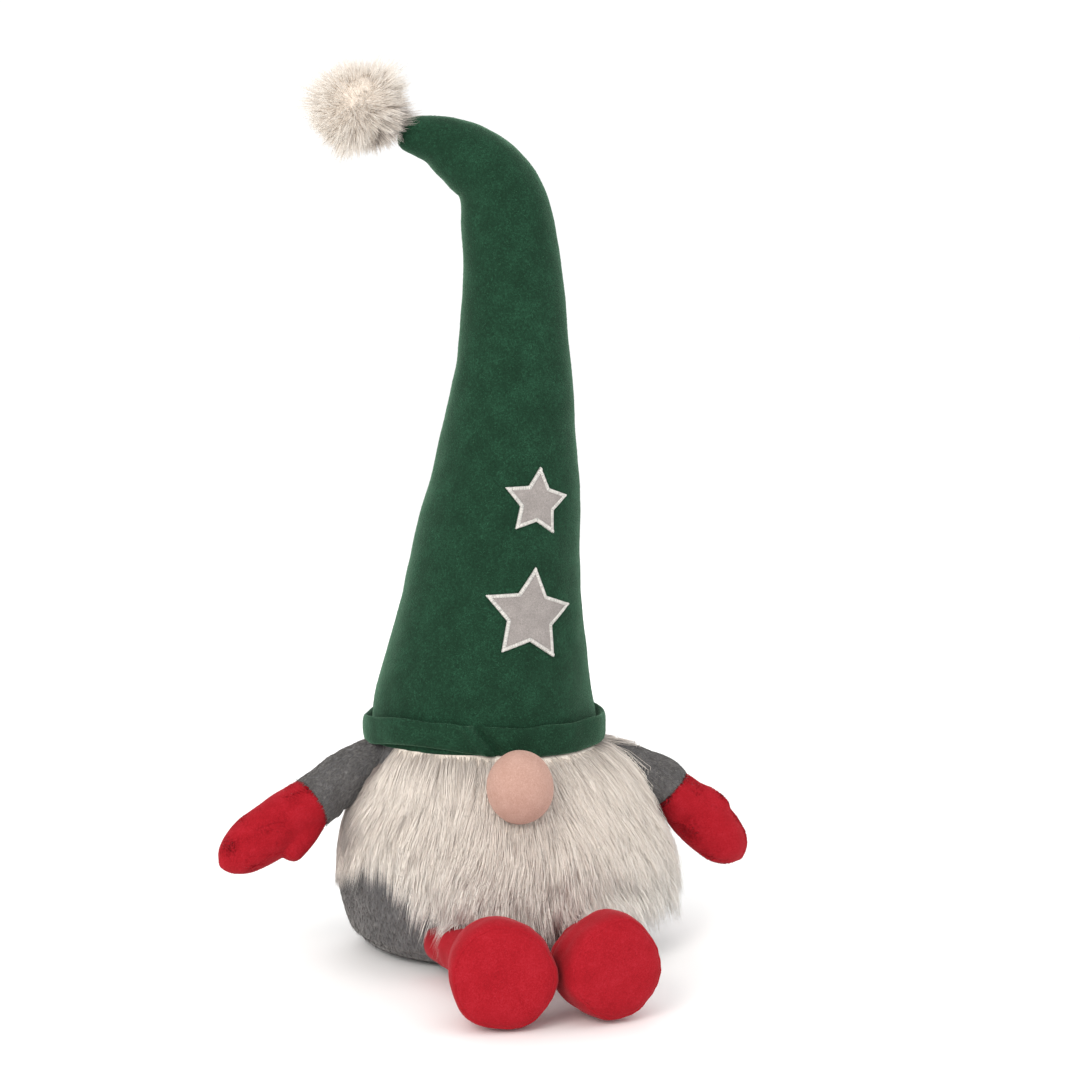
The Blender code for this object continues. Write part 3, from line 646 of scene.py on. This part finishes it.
def body_run():
    run = [(0.0, TOP_HEIGHT), (0.4 * TOP_RADIUS, TOP_HEIGHT), (TOP_RADIUS, TOP_HEIGHT - 0.0005)]
    for degrees in (60, 35, 12):
        angle = math.radians(degrees)
        run.append((TOP_RADIUS + (NECK_RADIUS - TOP_RADIUS) * math.cos(angle),
                    NECK_HEIGHT + (TOP_HEIGHT - NECK_HEIGHT) * math.sin(angle)))
    for step in range(8):
        height = NECK_HEIGHT + (WIDEST_HEIGHT - NECK_HEIGHT) * step / 7
        run.append((float(body_radius(height)), height))
    for degrees in (15, 30, 45, 60, 75):
        angle = math.radians(degrees)
        run.append((BASE_RADIUS + (BODY_RADIUS - BASE_RADIUS) * math.cos(angle),
                    WIDEST_HEIGHT * (1 - math.sin(angle)) + 0.0006))
    run.append((BASE_RADIUS, 0.0004))
    return run


def build_body():
    """The bag of plush, with its back seam, the seam round its base, and the base panel."""
    run = body_run()

    def place(round_, along):
        radius, height = on_run(run, along)
        turn = math.tau * close_to(0.0, round_)
        out = Vector((math.sin(turn), math.cos(turn), 0.0))
        point = out * radius + Vector((0, 0, height))
        slack = min(1.0, max(0.0, height) / 0.02)
        stand = slack * (lumps(point, 0.04, 0.0026) + lumps(point, 0.014, 0.0006, 4.0))
        from_seam = math.remainder(turn, math.tau) * max(radius, 0.01)
        stand += groove(from_seam, 0.002, 0.0014) * min(1.0, radius / 0.05)
        stand += 0.0035 * math.exp(-((height - 0.01) / 0.012) ** 2)
        stand += groove(height - 0.0095, 0.0016, 0.0013) * (0.8 + lumps(point, 0.006, 0.9))
        return point + out * max(stand, -0.0015)

    body = thing_of("body_plush", cloth(160, 110, place), GREY_PLUSH)

    def bare(points):
        turn = np.degrees(np.arctan2(points[:, 0], -points[:, 1]))
        hidden = (np.abs(turn) < 70) & (points[:, 2] > 0.05)
        return (~hidden) & (points[:, 2] < 0.139) & (points[:, 2] > 0.001)

    pile = nap("body_plush_pile", body, GREY_PILE, 19000, 23, 0.005, 0.00034, 0.8,
               (0, 0, -1.3), stray=0.35, rings=3, swirl=0.016, keep=bare)
    base_run = ((0.0, 0.0016), (0.02, 0.0015), (0.045, 0.001), (0.056, 0.0005),
                (0.0592, 0.0012), (0.0575, 0.0022), (0.04, 0.0028), (0.0, 0.003))

    def under(round_, along):
        radius, height = on_run(base_run, along)
        turn = math.tau * round_
        point = Vector((radius * math.sin(turn), radius * math.cos(turn), height))
        return point + Vector((0, 0, max(0.0, lumps(point, 0.012, 0.0004))))

    base = thing_of("base_plush", cloth(72, 26, under), GREY_PLUSH)
    declare(body, "gnome", "grey_plush", "body_shell")
    declare(pile, "gnome", "grey_plush")
    declare(base, "gnome", "grey_plush", "base_panel")


def build_nose():
    def place(round_, along):
        lean = math.pi * along
        turn = math.tau * round_
        out = Vector((math.sin(lean) * math.sin(turn), math.cos(lean),
                      math.sin(lean) * math.cos(turn)))
        point = Vector(out * NOSE_RADII)
        droop = 1 + 0.05 * max(0.0, -out.z)
        return NOSE_CENTRE + point * droop + out * lumps(out, 0.9, 0.0007)

    nose = thing_of("nose_plush", cloth(72, 48, place), SKIN_PLUSH)
    pile = nap("nose_plush_pile", nose, SKIN_PILE, 5000, 29, 0.0012, 0.00017, 0.72,
               (0.3, 0, -1), stray=0.3, keep=lambda points: points[:, 1] < -0.098)
    declare(nose, "gnome", "skin_plush", "nose_shell")
    declare(pile, "gnome", "skin_plush")


# ---------------- arms

def arm_point(side, x, height):
    forward = ARM_FORWARD * (x - 0.0915)
    return Vector((SIDES[side] * x, SHOULDER_Y + forward, height))


def build_sleeve(side):
    run = [(*arm_point(side, x, height), radius) for x, height, radius in SLEEVES[side]]
    seed = 3.0 * SIDES[side]

    def shape(angle, along, radius, point):
        stand = lumps(point, 0.022, 0.0014, seed) + lumps(point, 0.009, 0.0004, seed + 4)
        below = max(0.0, -SIDES[side] * math.sin(angle))
        for fold, depth in ((0.42, 0.0013), (0.64, 0.001)):
            skew = fold + 0.02 * math.cos(angle)
            stand -= depth * (0.15 + below) * math.exp(-((along - skew) / 0.045) ** 2)
        stand -= 0.0012 * math.exp(-((along - 1.0) / 0.03) ** 2)
        return stand

    sleeve = thing_of(f"sleeve_plush_{side}",
                      cloth(72, 64, stuffed_tube(run, Vector((0, 1, 0)), shape)), GREY_PLUSH)
    thicken(sleeve, "plush_thickness", 0.001)
    along = (arm_point(side, *SLEEVES[side][-1][:2]) - arm_point(side, *SLEEVES[side][0][:2]))
    pile = nap(f"sleeve_pile_{side}", sleeve, GREY_PILE, 6500, 31 + SIDES[side], 0.0046,
               0.00032, 0.82, along.normalized() * 1.2 + Vector((0, 0, -0.4)), stray=0.35,
               rings=3, swirl=0.011, keep=lambda points: np.abs(points[:, 0]) > 0.074)
    bend = (arm_point(side, 0.0825, 0.119), arm_point(side, 0.106, 0.108))
    bodies = ("gnome", f"arm_{side}")
    declare(sleeve, bodies, "grey_plush", f"sleeve_{side}", bend=bend)
    declare(pile, bodies, "grey_plush", bend=bend)


THUMBS = {  # run of (reach, forward, lift, radius) from the palm to the thumb's tip
    "right": ((0.002, 0.003, -0.0035, 0.0095), (0.009, 0.006, -0.008, 0.01),
              (0.019, 0.008, -0.0125, 0.0098), (0.028, 0.009, -0.016, 0.0088),
              (0.033, 0.009, -0.0178, 0.0062)),
    "left": ((0.006, 0.002, 0.004, 0.009), (0.014, 0.003, 0.008, 0.01),
             (0.022, 0.003, 0.0112, 0.0098), (0.031, 0.003, 0.0135, 0.0084),
             (0.0365, 0.003, 0.0145, 0.0055)),
}
PALMS = {  # (share of the length, half width)
    "right": ((-0.02, 0.015), (0.0, 0.0168), (0.14, 0.0182), (0.36, 0.0188), (0.6, 0.0182),
              (0.8, 0.0152), (0.93, 0.0098), (0.99, 0.0035)),
    "left": ((-0.02, 0.0138), (0.0, 0.015), (0.14, 0.017), (0.36, 0.019), (0.6, 0.0186),
             (0.8, 0.0156), (0.93, 0.01), (0.99, 0.0035)),
}


def closed_run(run):
    """Stations whose two ends are drawn to a point a little way on, for a closed form."""
    ends = []
    for last, before in ((run[0], run[1]), (run[-1], run[-2])):
        on = (Vector(last[:3]) - Vector(before[:3])).normalized() * 0.45 * last[3]
        ends.append((*(Vector(last[:3]) + on), 0.0))
    return [ends[0], *run, ends[1]]


def mitten_skin(side, length):
    """Palm and thumb as one skin, along x from the wrist. They are turned aslant while they are
    joined, so that the joining leaves no terraces along the mitten."""
    palm_run = closed_run([(length * share, 0.0, 0.0, width) for share, width in PALMS[side]])
    thumb_run = closed_run([(reach, -SIDES[side] * forward, lift, width)
                            for reach, forward, lift, width in THUMBS[side]])
    across, plain = Vector((0, 1, 0)), lambda angle, along, radius, point: 0.0
    work = cloth(40, 56, stuffed_tube(palm_run, across, plain))
    thumb = cloth(28, 32, stuffed_tube(thumb_run, across, plain))
    for part in (work, thumb):
        bmesh.ops.remove_doubles(part, verts=part.verts[:], dist=0.0004)
    mesh = bpy.data.meshes.new("thumb")
    thumb.to_mesh(mesh)
    thumb.free()
    work.from_mesh(mesh)
    bpy.data.meshes.remove(mesh)
    aslant = Euler((0.4, 0.5, 0.3)).to_matrix().to_4x4()
    work.transform(aslant)
    mitten = thing_of(f"mitten_plush_{side}", work, RED_PLUSH)
    skin = mitten.modifiers.new("one_skin", "REMESH")
    skin.mode, skin.voxel_size, skin.adaptivity = "VOXEL", 0.0009, 0.0
    soften = mitten.modifiers.new("soften", "SMOOTH")
    soften.factor, soften.iterations = 0.5, 16
    graph = bpy.context.evaluated_depsgraph_get()
    mitten.data = bpy.data.meshes.new_from_object(mitten.evaluated_get(graph))
    mitten.modifiers.clear()
    mitten.data.transform(aslant.inverted())
    mitten.data.update()
    return mitten


def build_mitten(side):
    """A stuffed mitten on its wrist, flattened front to back."""
    wrist = arm_point(side, *SLEEVES[side][-1][:2])
    along = (wrist - arm_point(side, *LAST_BENDS[side])).normalized()
    back = Vector((0, 0, 1)).cross(along).normalized()
    place = Matrix((along, back, along.cross(back))).transposed().to_4x4()
    place.translation = wrist + along * 0.0004

    length = MITTEN_LENGTHS[side]
    mitten = mitten_skin(side, length)
    mesh = mitten.data
    seed = 5.0 * SIDES[side]
    for corner in mesh.vertices:
        at = corner.co
        depth = min(1.0, max(0.0, at.x / (0.3 * length)))
        at.y *= 1 - (1 - MITTEN_FLAT) * depth
        normal = corner.normal.copy()
        stand = lumps(at, 0.02, 0.0016, seed) + lumps(at, 0.009, 0.0004, seed + 2)
        stand -= 0.0008 * math.exp(-(at.x / 0.0022) ** 2)
        corner.co = place @ (at + normal * stand)
    mesh.materials.clear()
    mesh.materials.append(RED_PLUSH)
    mesh.shade_smooth()
    mesh.update()
    pile = velboa_nap(f"mitten_pile_{side}", mitten, 8000, 41 + SIDES[side], (0, -0.2, -1),
                      length=0.001)
    declare(mitten, f"arm_{side}", "red_plush", f"mitten_{side}")
    declare(pile, f"arm_{side}", "red_plush")


# ---------------- legs and boots

def boot_frame(side):
    turn = Matrix.Rotation(BOOT_TURN[side], 4, "Z")
    return Matrix.Translation(BOOT_CENTRES[side]) @ turn


def hip_of(side):
    return Vector((SIDES[side] * HIP.x, HIP.y, HIP.z))


def build_leg(side):
    hip = hip_of(side)
    ankle = boot_frame(side) @ Vector((0, 0.04, -0.006))
    end = boot_frame(side) @ Vector((0, 0.019, -0.005))
    inside = hip - (ankle - hip) * 0.22
    run = [(*inside, 0.012), (*hip, 0.0132), (*hip.lerp(ankle, 0.4), LEG_RADIUS),
           (*hip.lerp(ankle, 0.8), LEG_RADIUS), (*ankle, 0.0136), (*end, 0.0125)]
    seed = 7.0 * SIDES[side]

    def shape(angle, along, radius, point):
        stand = lumps(point, 0.014, 0.0014, seed)
        for fold in (0.3, 0.52, 0.7):
            stand -= 0.001 * math.exp(-((along - fold - 0.03 * math.cos(angle)) / 0.03) ** 2)
        return stand

    leg = thing_of(f"leg_plush_{side}",
                   cloth(56, 52, stuffed_tube(run, Vector((1, 0, 0)), shape)), RED_PLUSH)
    thicken(leg, "plush_thickness", 0.001)
    pile = velboa_nap(f"leg_pile_{side}", leg, 2600, 51 + SIDES[side], (0, -1, -0.3))
    bend = (hip.lerp(ankle, -0.12), hip.lerp(ankle, 0.42))
    bodies = ("gnome", f"leg_{side}")
    declare(leg, bodies, "red_plush", f"leg_{side}", bend=bend)
    declare(pile, bodies, "red_plush", bend=bend)


def build_boot(side):
    """A stuffed boot seen on its sole: the upper rolls over a sewn edge to a domed sole."""
    upper_run = ((0.0262, -0.006, 0.011), (0.0262, -0.006, 0.0145), (0.0235, -0.0055, 0.0205),
                 (0.0185, -0.0045, 0.0252), (0.011, -0.002, 0.029), (0.002, 0.0, 0.0309),
                 (-0.007, 0.0, 0.0316), (-0.013, 0.0, 0.0316), (-0.017, 0.0, 0.0309),
                 (-0.0193, 0.0, 0.0297), (-0.0196, 0.0, 0.0284))
    sole_run = ((-0.0182, 0.0, 0.029), (-0.0196, 0.0, 0.0287), (-0.021, 0.0, 0.027),
                (-0.0223, 0.0, 0.0235), (-0.0233, 0.0, 0.018), (-0.0239, 0.0, 0.01),
                (-0.0241, 0.0, 0.003), (-0.0241, 0.0, 0.0))
    seed = 9.0 * SIDES[side]
    toe, girth = {"right": (0.22, 1.006), "left": (0.1, 0.968)}[side]
    place = boot_frame(side)

    def laid(run, puckers):
        def lay(round_, along):
            back, height, radius = on_run(run, along)
            radius *= girth
            angle = math.tau * round_
            out = Vector((math.sin(angle), 0.0, math.cos(angle)))
            point = Vector((0, back, height)) + out * radius
            stand = lumps(point, 0.022, 0.0018, seed) + lumps(point, 0.009, 0.0005, seed + 3)
            peak = max(0.0, math.cos(angle - 2 * toe * SIDES[side])) ** 6
            stand += 0.003 * peak * (radius / 0.03)
            stand += 0.001 * puckers(along) * math.sin(23 * angle + 3 * noise.noise(out * 3))
            stand -= 0.0008 * max(0.0, -out.z) ** 8
            return place @ (point + out * stand * min(1.0, radius / 0.012))
        return lay

    body = f"leg_{side}"
    for number, (part, run, rows, puckers, strands, flow, fill) in enumerate((
            ("upper", upper_run, 60, lambda at: max(0.0, at - 0.7), 9500, (0, -1, -0.4), 0.85),
            ("sole", sole_run, 30, lambda at: max(0.0, 0.3 - at), 5000, (0.2, 0, -1), 0.6))):
        plush = thing_of(f"boot_{part}_plush_{side}", cloth(110, rows, laid(run, puckers)),
                         RED_PLUSH)
        thicken(plush, "plush_thickness", 0.0008)
        pile = velboa_nap(f"boot_{part}_pile_{side}", plush, strands,
                          61 + 10 * number + SIDES[side], flow)
        declare(plush, body, "red_plush", f"boot_{part}_{side}")
        declare(pile, body, "red_plush")


# ---------------- fur

def on_body(turn, height, depth):
    """Points at a turn in degrees from the front, a height, and a depth off the body."""
    reach = body_radius(height) + depth
    turn = np.radians(turn)
    return np.stack((reach * np.sin(turn), -reach * np.cos(turn), height), axis=-1)


def push_out(points, start, end, radius):
    """Moves what lies in a limb out to its surface."""
    start, axis = np.array(start), np.array(end - start)
    share = np.clip(((points - start) @ axis) / (axis @ axis), 0, 1)[..., None]
    away = points - (start + share * axis)
    far = sizes_of(away)
    return points + away * np.maximum(0.0, radius / np.maximum(far, 1e-6) - 1)


def fall(turn, height, rng, share):
    """Where hair rooted at a turn and height lies, at each share of its length: it leaves the
    cloth, bends over and hangs, spread away from the nose and waving more on the left side."""
    count = len(turn)
    each = lambda low, high: rng.uniform(low, high, (count, 1))
    turn, height = turn[:, None], height[:, None]
    drop = np.interp(turn, (-100, -70, -45, -20, -5, 60, 95),
                     (0.03, 0.034, 0.035, 0.04, 0.046, 0.045, 0.03))
    drop = drop * each(0.82, 1.18)
    depth = np.interp(turn, (-104, -84, -64, -44, -14, 16, 46, 76, 95),
                      (0.003, 0.006, 0.013, 0.019, 0.022, 0.025, 0.031, 0.037, 0.036))
    depth = depth * each(0.42, 1.0) ** 0.6
    depth = depth * np.interp(height, (0.06, 0.09, 0.138), (1.1, 1.0, 0.62))
    spread = np.interp(turn, (-100, -50, -12, 0, 12, 50, 90), (-5, -2, -5, 0, 6, 8, 12))
    wave = np.interp(turn, (-60, 10, 60), (0.6, 1.2, 2.2)) * each(0.5, 1.3)
    phase = each(0, math.tau)
    sway = np.array([noise.noise(Vector((0.05 * t, 38 * h, 3.0)))
                     for t, h in zip(turn[:, 0], height[:, 0])])[:, None]
    flick = 0.009 * each(0, 1) ** 3 * np.interp(turn, (30, 80), (0.15, 1.0))
    out = depth * (1 - (1 - share) ** 2.2) + flick * share ** 3
    down = height - drop * share ** 1.5
    swing = (spread + 15.0 * sway) * share ** 1.3 + wave * np.sin(share * 5.5 + phase) * share
    return np.stack((turn + swing, down, out * np.ones_like(down)), axis=-1)


def beard_roots(rng, total):
    """Turns and heights of roots, between the beard's lower edge and the hat."""
    turn = rng.uniform(-97, 86, total * 2)
    height = rng.uniform(0.054, 0.144, total * 2)
    low = np.interp(turn, (-100, -80, -65, -54, -46, -38, -30, -20, 60, 95),
                    (0.07, 0.076, 0.085, 0.09, 0.085, 0.075, 0.065, 0.058, 0.062, 0.082))
    high = np.interp(turn, (-97, -68, -64, -5, 10, 90),
                     (0.118, 0.13, 0.143, 0.1405, 0.1385, 0.1385))
    kept = (height > low) & (height < high)
    return turn[kept][:total], height[kept][:total]


def in_locks(turn, height, rng, share, heads=640):
    """Each hair's points, drawn towards those of the lock that it grows in."""
    head_turn = rng.uniform(-100, 95, heads)
    head_height = rng.uniform(0.05, 0.14, heads)
    own = fall(turn, height, rng, share)
    locks = fall(head_turn, head_height, rng, share)
    far = ((turn[:, None] - head_turn) * 0.0016) ** 2 + (height[:, None] - head_height) ** 2
    pull = (0.46 * share ** 1.3 * rng.uniform(0.55, 1.1, (len(turn), 1)))[..., None]
    own = own + (locks[far.argmin(axis=1)] - own) * pull
    return on_body(own[..., 0], own[..., 1], own[..., 2])


def clear_of_limbs(points, thick):
    for side, reach in (("right", 0.018), ("left", 0.0172)):
        joints = [arm_point(side, x, z) for x, z, radius in SLEEVES[side][1:]]
        for start, end in zip(joints, joints[1:]):
            points = push_out(points, start, end, reach + thick)
        ankle = boot_frame(side) @ Vector((0, 0.03, -0.006))
        points = push_out(points, hip_of(side), ankle, 0.015 + thick)
    return points


def clear_of_nose(points, thick):
    ball = (points - np.array(NOSE_CENTRE)) / np.array(NOSE_RADII)
    far = sizes_of(ball)
    room = 1.03 + 40 * thick
    away = np.where(far < room, room / np.maximum(far, 0.2), 1.0)
    return np.array(NOSE_CENTRE) + ball * away * np.array(NOSE_RADII)


def tucked_under_hat(points):
    """Keeps hair off the floor, and inside the hat where it reaches as high as the brim."""
    points[..., 2] = np.clip(points[..., 2], 0.0025, 0.145)
    reach = sizes_of(points[..., :2])
    room = np.interp(points[..., 2:], (0.1385, 0.1425), (0.15, 0.0732))
    points[..., :2] *= np.minimum(reach, room) / reach
    return points


def may_grow(turn, height):
    """Whether a root is beside the nose and the arms, not under them."""
    rooted = on_body(turn, height, np.zeros(len(turn)))
    free = np.linalg.norm((rooted - np.array(NOSE_CENTRE)) / np.array(NOSE_RADII), axis=-1) >= 1
    for side in SIDES:
        shoulder = np.array(arm_point(side, 0.08, 0.117))
        free &= np.linalg.norm(rooted - shoulder, axis=-1) >= 0.013
    return free


def fur_top(turn):
    return float(np.interp(turn, (-84, -71, -64, -20, 10), (0.11, 0.12, 0.142, 0.141, 0.1375)))


def beard_ground():
    """The knitted cloth that the hair is tied into."""
    def place(round_, along):
        turn = -84 + 168 * round_
        bottom = float(np.interp(turn, (-84, -54, -30, 84), (0.086, 0.07, 0.056, 0.056)))
        return Vector(on_body(turn, bottom + (fur_top(turn) - bottom) * along, 0.0014))

    ground = thing_of("beard_ground", cloth(90, 30, place), FUR_GROUND)
    thicken(ground, "knit_thickness", 0.0009, 0.0)
    return ground


def beard_underfur():
    """The dense short fur under the locks, laid up over its face and down behind it."""
    def place(round_, along):
        turn, up = -80 + 152 * round_, 1 - abs(2 * along - 1)
        bottom = float(np.interp(turn, (-80, -50, -42, -30, 80),
                                 (0.08, 0.09, 0.07, 0.042, 0.04)))
        height = bottom + (fur_top(turn) - bottom) * up
        spot = Vector(on_body(turn, height, 0.0022))
        if along >= 0.5 or up == 0.0:
            return spot
        depth = float(np.interp(turn, (-84, -44, 0, 46, 76), (0.002, 0.006, 0.009, 0.012, 0.012)))
        depth *= float(np.interp(height, (0.06, 0.1, 0.138), (1.0, 0.85, 0.3)))
        depth *= min(1.0, math.sin(math.pi * round_) * 2.2)
        depth *= math.sin(math.pi * min(1.0, 0.16 + 0.78 * up)) ** 0.5
        depth *= 1 + 0.5 * lumps(spot, 0.01, 1.0)
        return Vector(on_body(turn, height, 0.0022 + depth))

    return thing_of("beard_underfur", cloth(110, 80, place), FUR_GROUND)


def build_beard():
    rng = np.random.default_rng(83)
    share = np.linspace(0, 1, 5)[None, :]
    turn, height = beard_roots(rng, BEARD_STRANDS)
    hung = in_locks(turn, height, rng, share)
    thick = rng.uniform(0.0, 0.0025, (len(turn), 1, 1))
    points = clear_of_limbs(hung, thick)
    pushed = np.linalg.norm(points - hung, axis=-1).max(axis=1)
    points = tucked_under_hat(clear_of_nose(points, thick))
    kept = may_grow(turn, height) & (pushed <= MOST_PUSHED)
    points, turn, height = points[kept], turn[kept], height[kept]

    # Painted shade darkens each hair at its root and painted light brightens it towards its tip;
    # the rest of its tone differs at random.
    tone = 0.42 + 0.36 * share + rng.normal(0, 0.08, (len(turn), 1))
    # Painted shade darkens the hair on the far side, from a turn of -61 degrees round to -100,
    # beside and under the arm.
    tone = tone - np.interp(turn, (-100, -70, -61), (0.48, 0.4, 0.0))[:, None]
    # Painted light brightens the lowest hair and painted shade darkens the hair near the top.
    tone = tone + np.interp(height, (0.06, 0.085, 0.115), (0.2, 0.0, -0.18))[:, None]
    widths = 0.5 * 0.0003 * np.array([0.9, 1.0, 1.0, 0.8, 0.0])
    pieces = []
    for part, chosen in enumerate(np.array_split(np.argsort(turn, kind="stable"), 5)):
        pieces.append(hairs(f"beard_fur_{part + 1}", points[chosen], widths, tone[chosen],
                            CREAM_FUR, 90 + part))

    under = beard_underfur()
    declare(under, "gnome", "cream_fur", "beard_pile")
    ground = beard_ground()
    declare(ground, "gnome", "backing_cloth", "beard_backing")
    for piece in pieces:
        declare(piece, "gnome", "cream_fur")


def build_pompom():
    rng = np.random.default_rng(97)
    along = (POMPOM_CENTRE - POMPOM_PIVOT).normalized()

    def place(round_, share):
        lean, turn = math.pi * share, math.tau * round_
        out = Vector((math.sin(lean) * math.cos(turn), math.sin(lean) * math.sin(turn),
                      math.cos(lean)))
        return POMPOM_CENTRE + out * (POMPOM_BALL + lumps(out, 0.4, 0.0012))

    ball = thing_of("pompom_cloth", cloth(56, 36, place), FUR_GROUND)
    total, heads = 8800, 260
    facing = unit(rng.normal(size=(total, 3)))
    lock = unit(rng.normal(size=(heads, 3)))
    nearest = (facing @ lock.T).argmax(axis=1)
    share = np.linspace(0, 1, 5)[None, :, None]
    swirl = np.array([noise.noise_vector(Vector(one) * 1.6) for one in lock])[nearest]
    size = rng.uniform(0.0085, 0.0152, (total, 1, 1)) * (1 + 1.1 * swirl[:, None, :1])
    neck = np.maximum(0.0, -(facing @ np.array(along)) - 0.5)[:, None, None]
    lean = facing[:, None] + (lock[nearest] - facing)[:, None] * 0.9 * share
    lean = lean + 0.32 * swirl[:, None] * share + rng.normal(0, 0.05, (total, 1, 3)) * share
    lean = unit(lean + np.array([0, 0, -0.1]) * share + neck * np.array(along) * 1.3 * share)
    roots = np.array(POMPOM_CENTRE) + (POMPOM_BALL - 0.001) * facing[:, None]
    step = np.diff(share, axis=1, prepend=0.0)
    lines = roots + np.cumsum(lean * size * step, axis=1)
    # Painted shade darkens each hair at its root and painted light brightens it towards its tip,
    # with tone that differs at random; more painted shade darkens the hair round the neck, where
    # the ball meets the hat.
    tone = 0.38 + 0.42 * share[..., 0] + rng.normal(0, 0.08, (total, 1))
    tone = tone - 0.9 * neck[..., 0]
    widths = 0.5 * 0.00028 * np.array([0.9, 1.0, 0.9, 0.7, 0.0])
    fur = hairs("pompom_fur", lines, widths, tone, CREAM_FUR, 98)
    declare(ball, "pompom", "cream_fur", "pompom_pile")
    declare(fur, "pompom", "cream_fur")


# ---------------- stuffing and what is inside

def finish_the_inside():
    """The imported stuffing, bag, wires and tie stay as they are and take their finish."""
    finishes = (("filling", FIBRE_FILLING), ("core", FIBRE_FILLING), ("wire", DRAWN_STEEL),
                ("pellet_bag", BAG_CLOTH), ("tie", SATIN_THREAD))
    for name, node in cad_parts.items():
        for word, material in finishes:
            if word in name:
                node.data.materials.clear()
                node.data.materials.append(material)


set_the_stage()
hat_surface = build_hat()
build_brim()
for star in STARS:
    build_star(*star, hat_surface)
build_body()
build_nose()
for side_name in SIDES:
    build_sleeve(side_name)
    build_mitten(side_name)
    build_leg(side_name)
    build_boot(side_name)
build_beard()
build_pompom()
finish_the_inside()
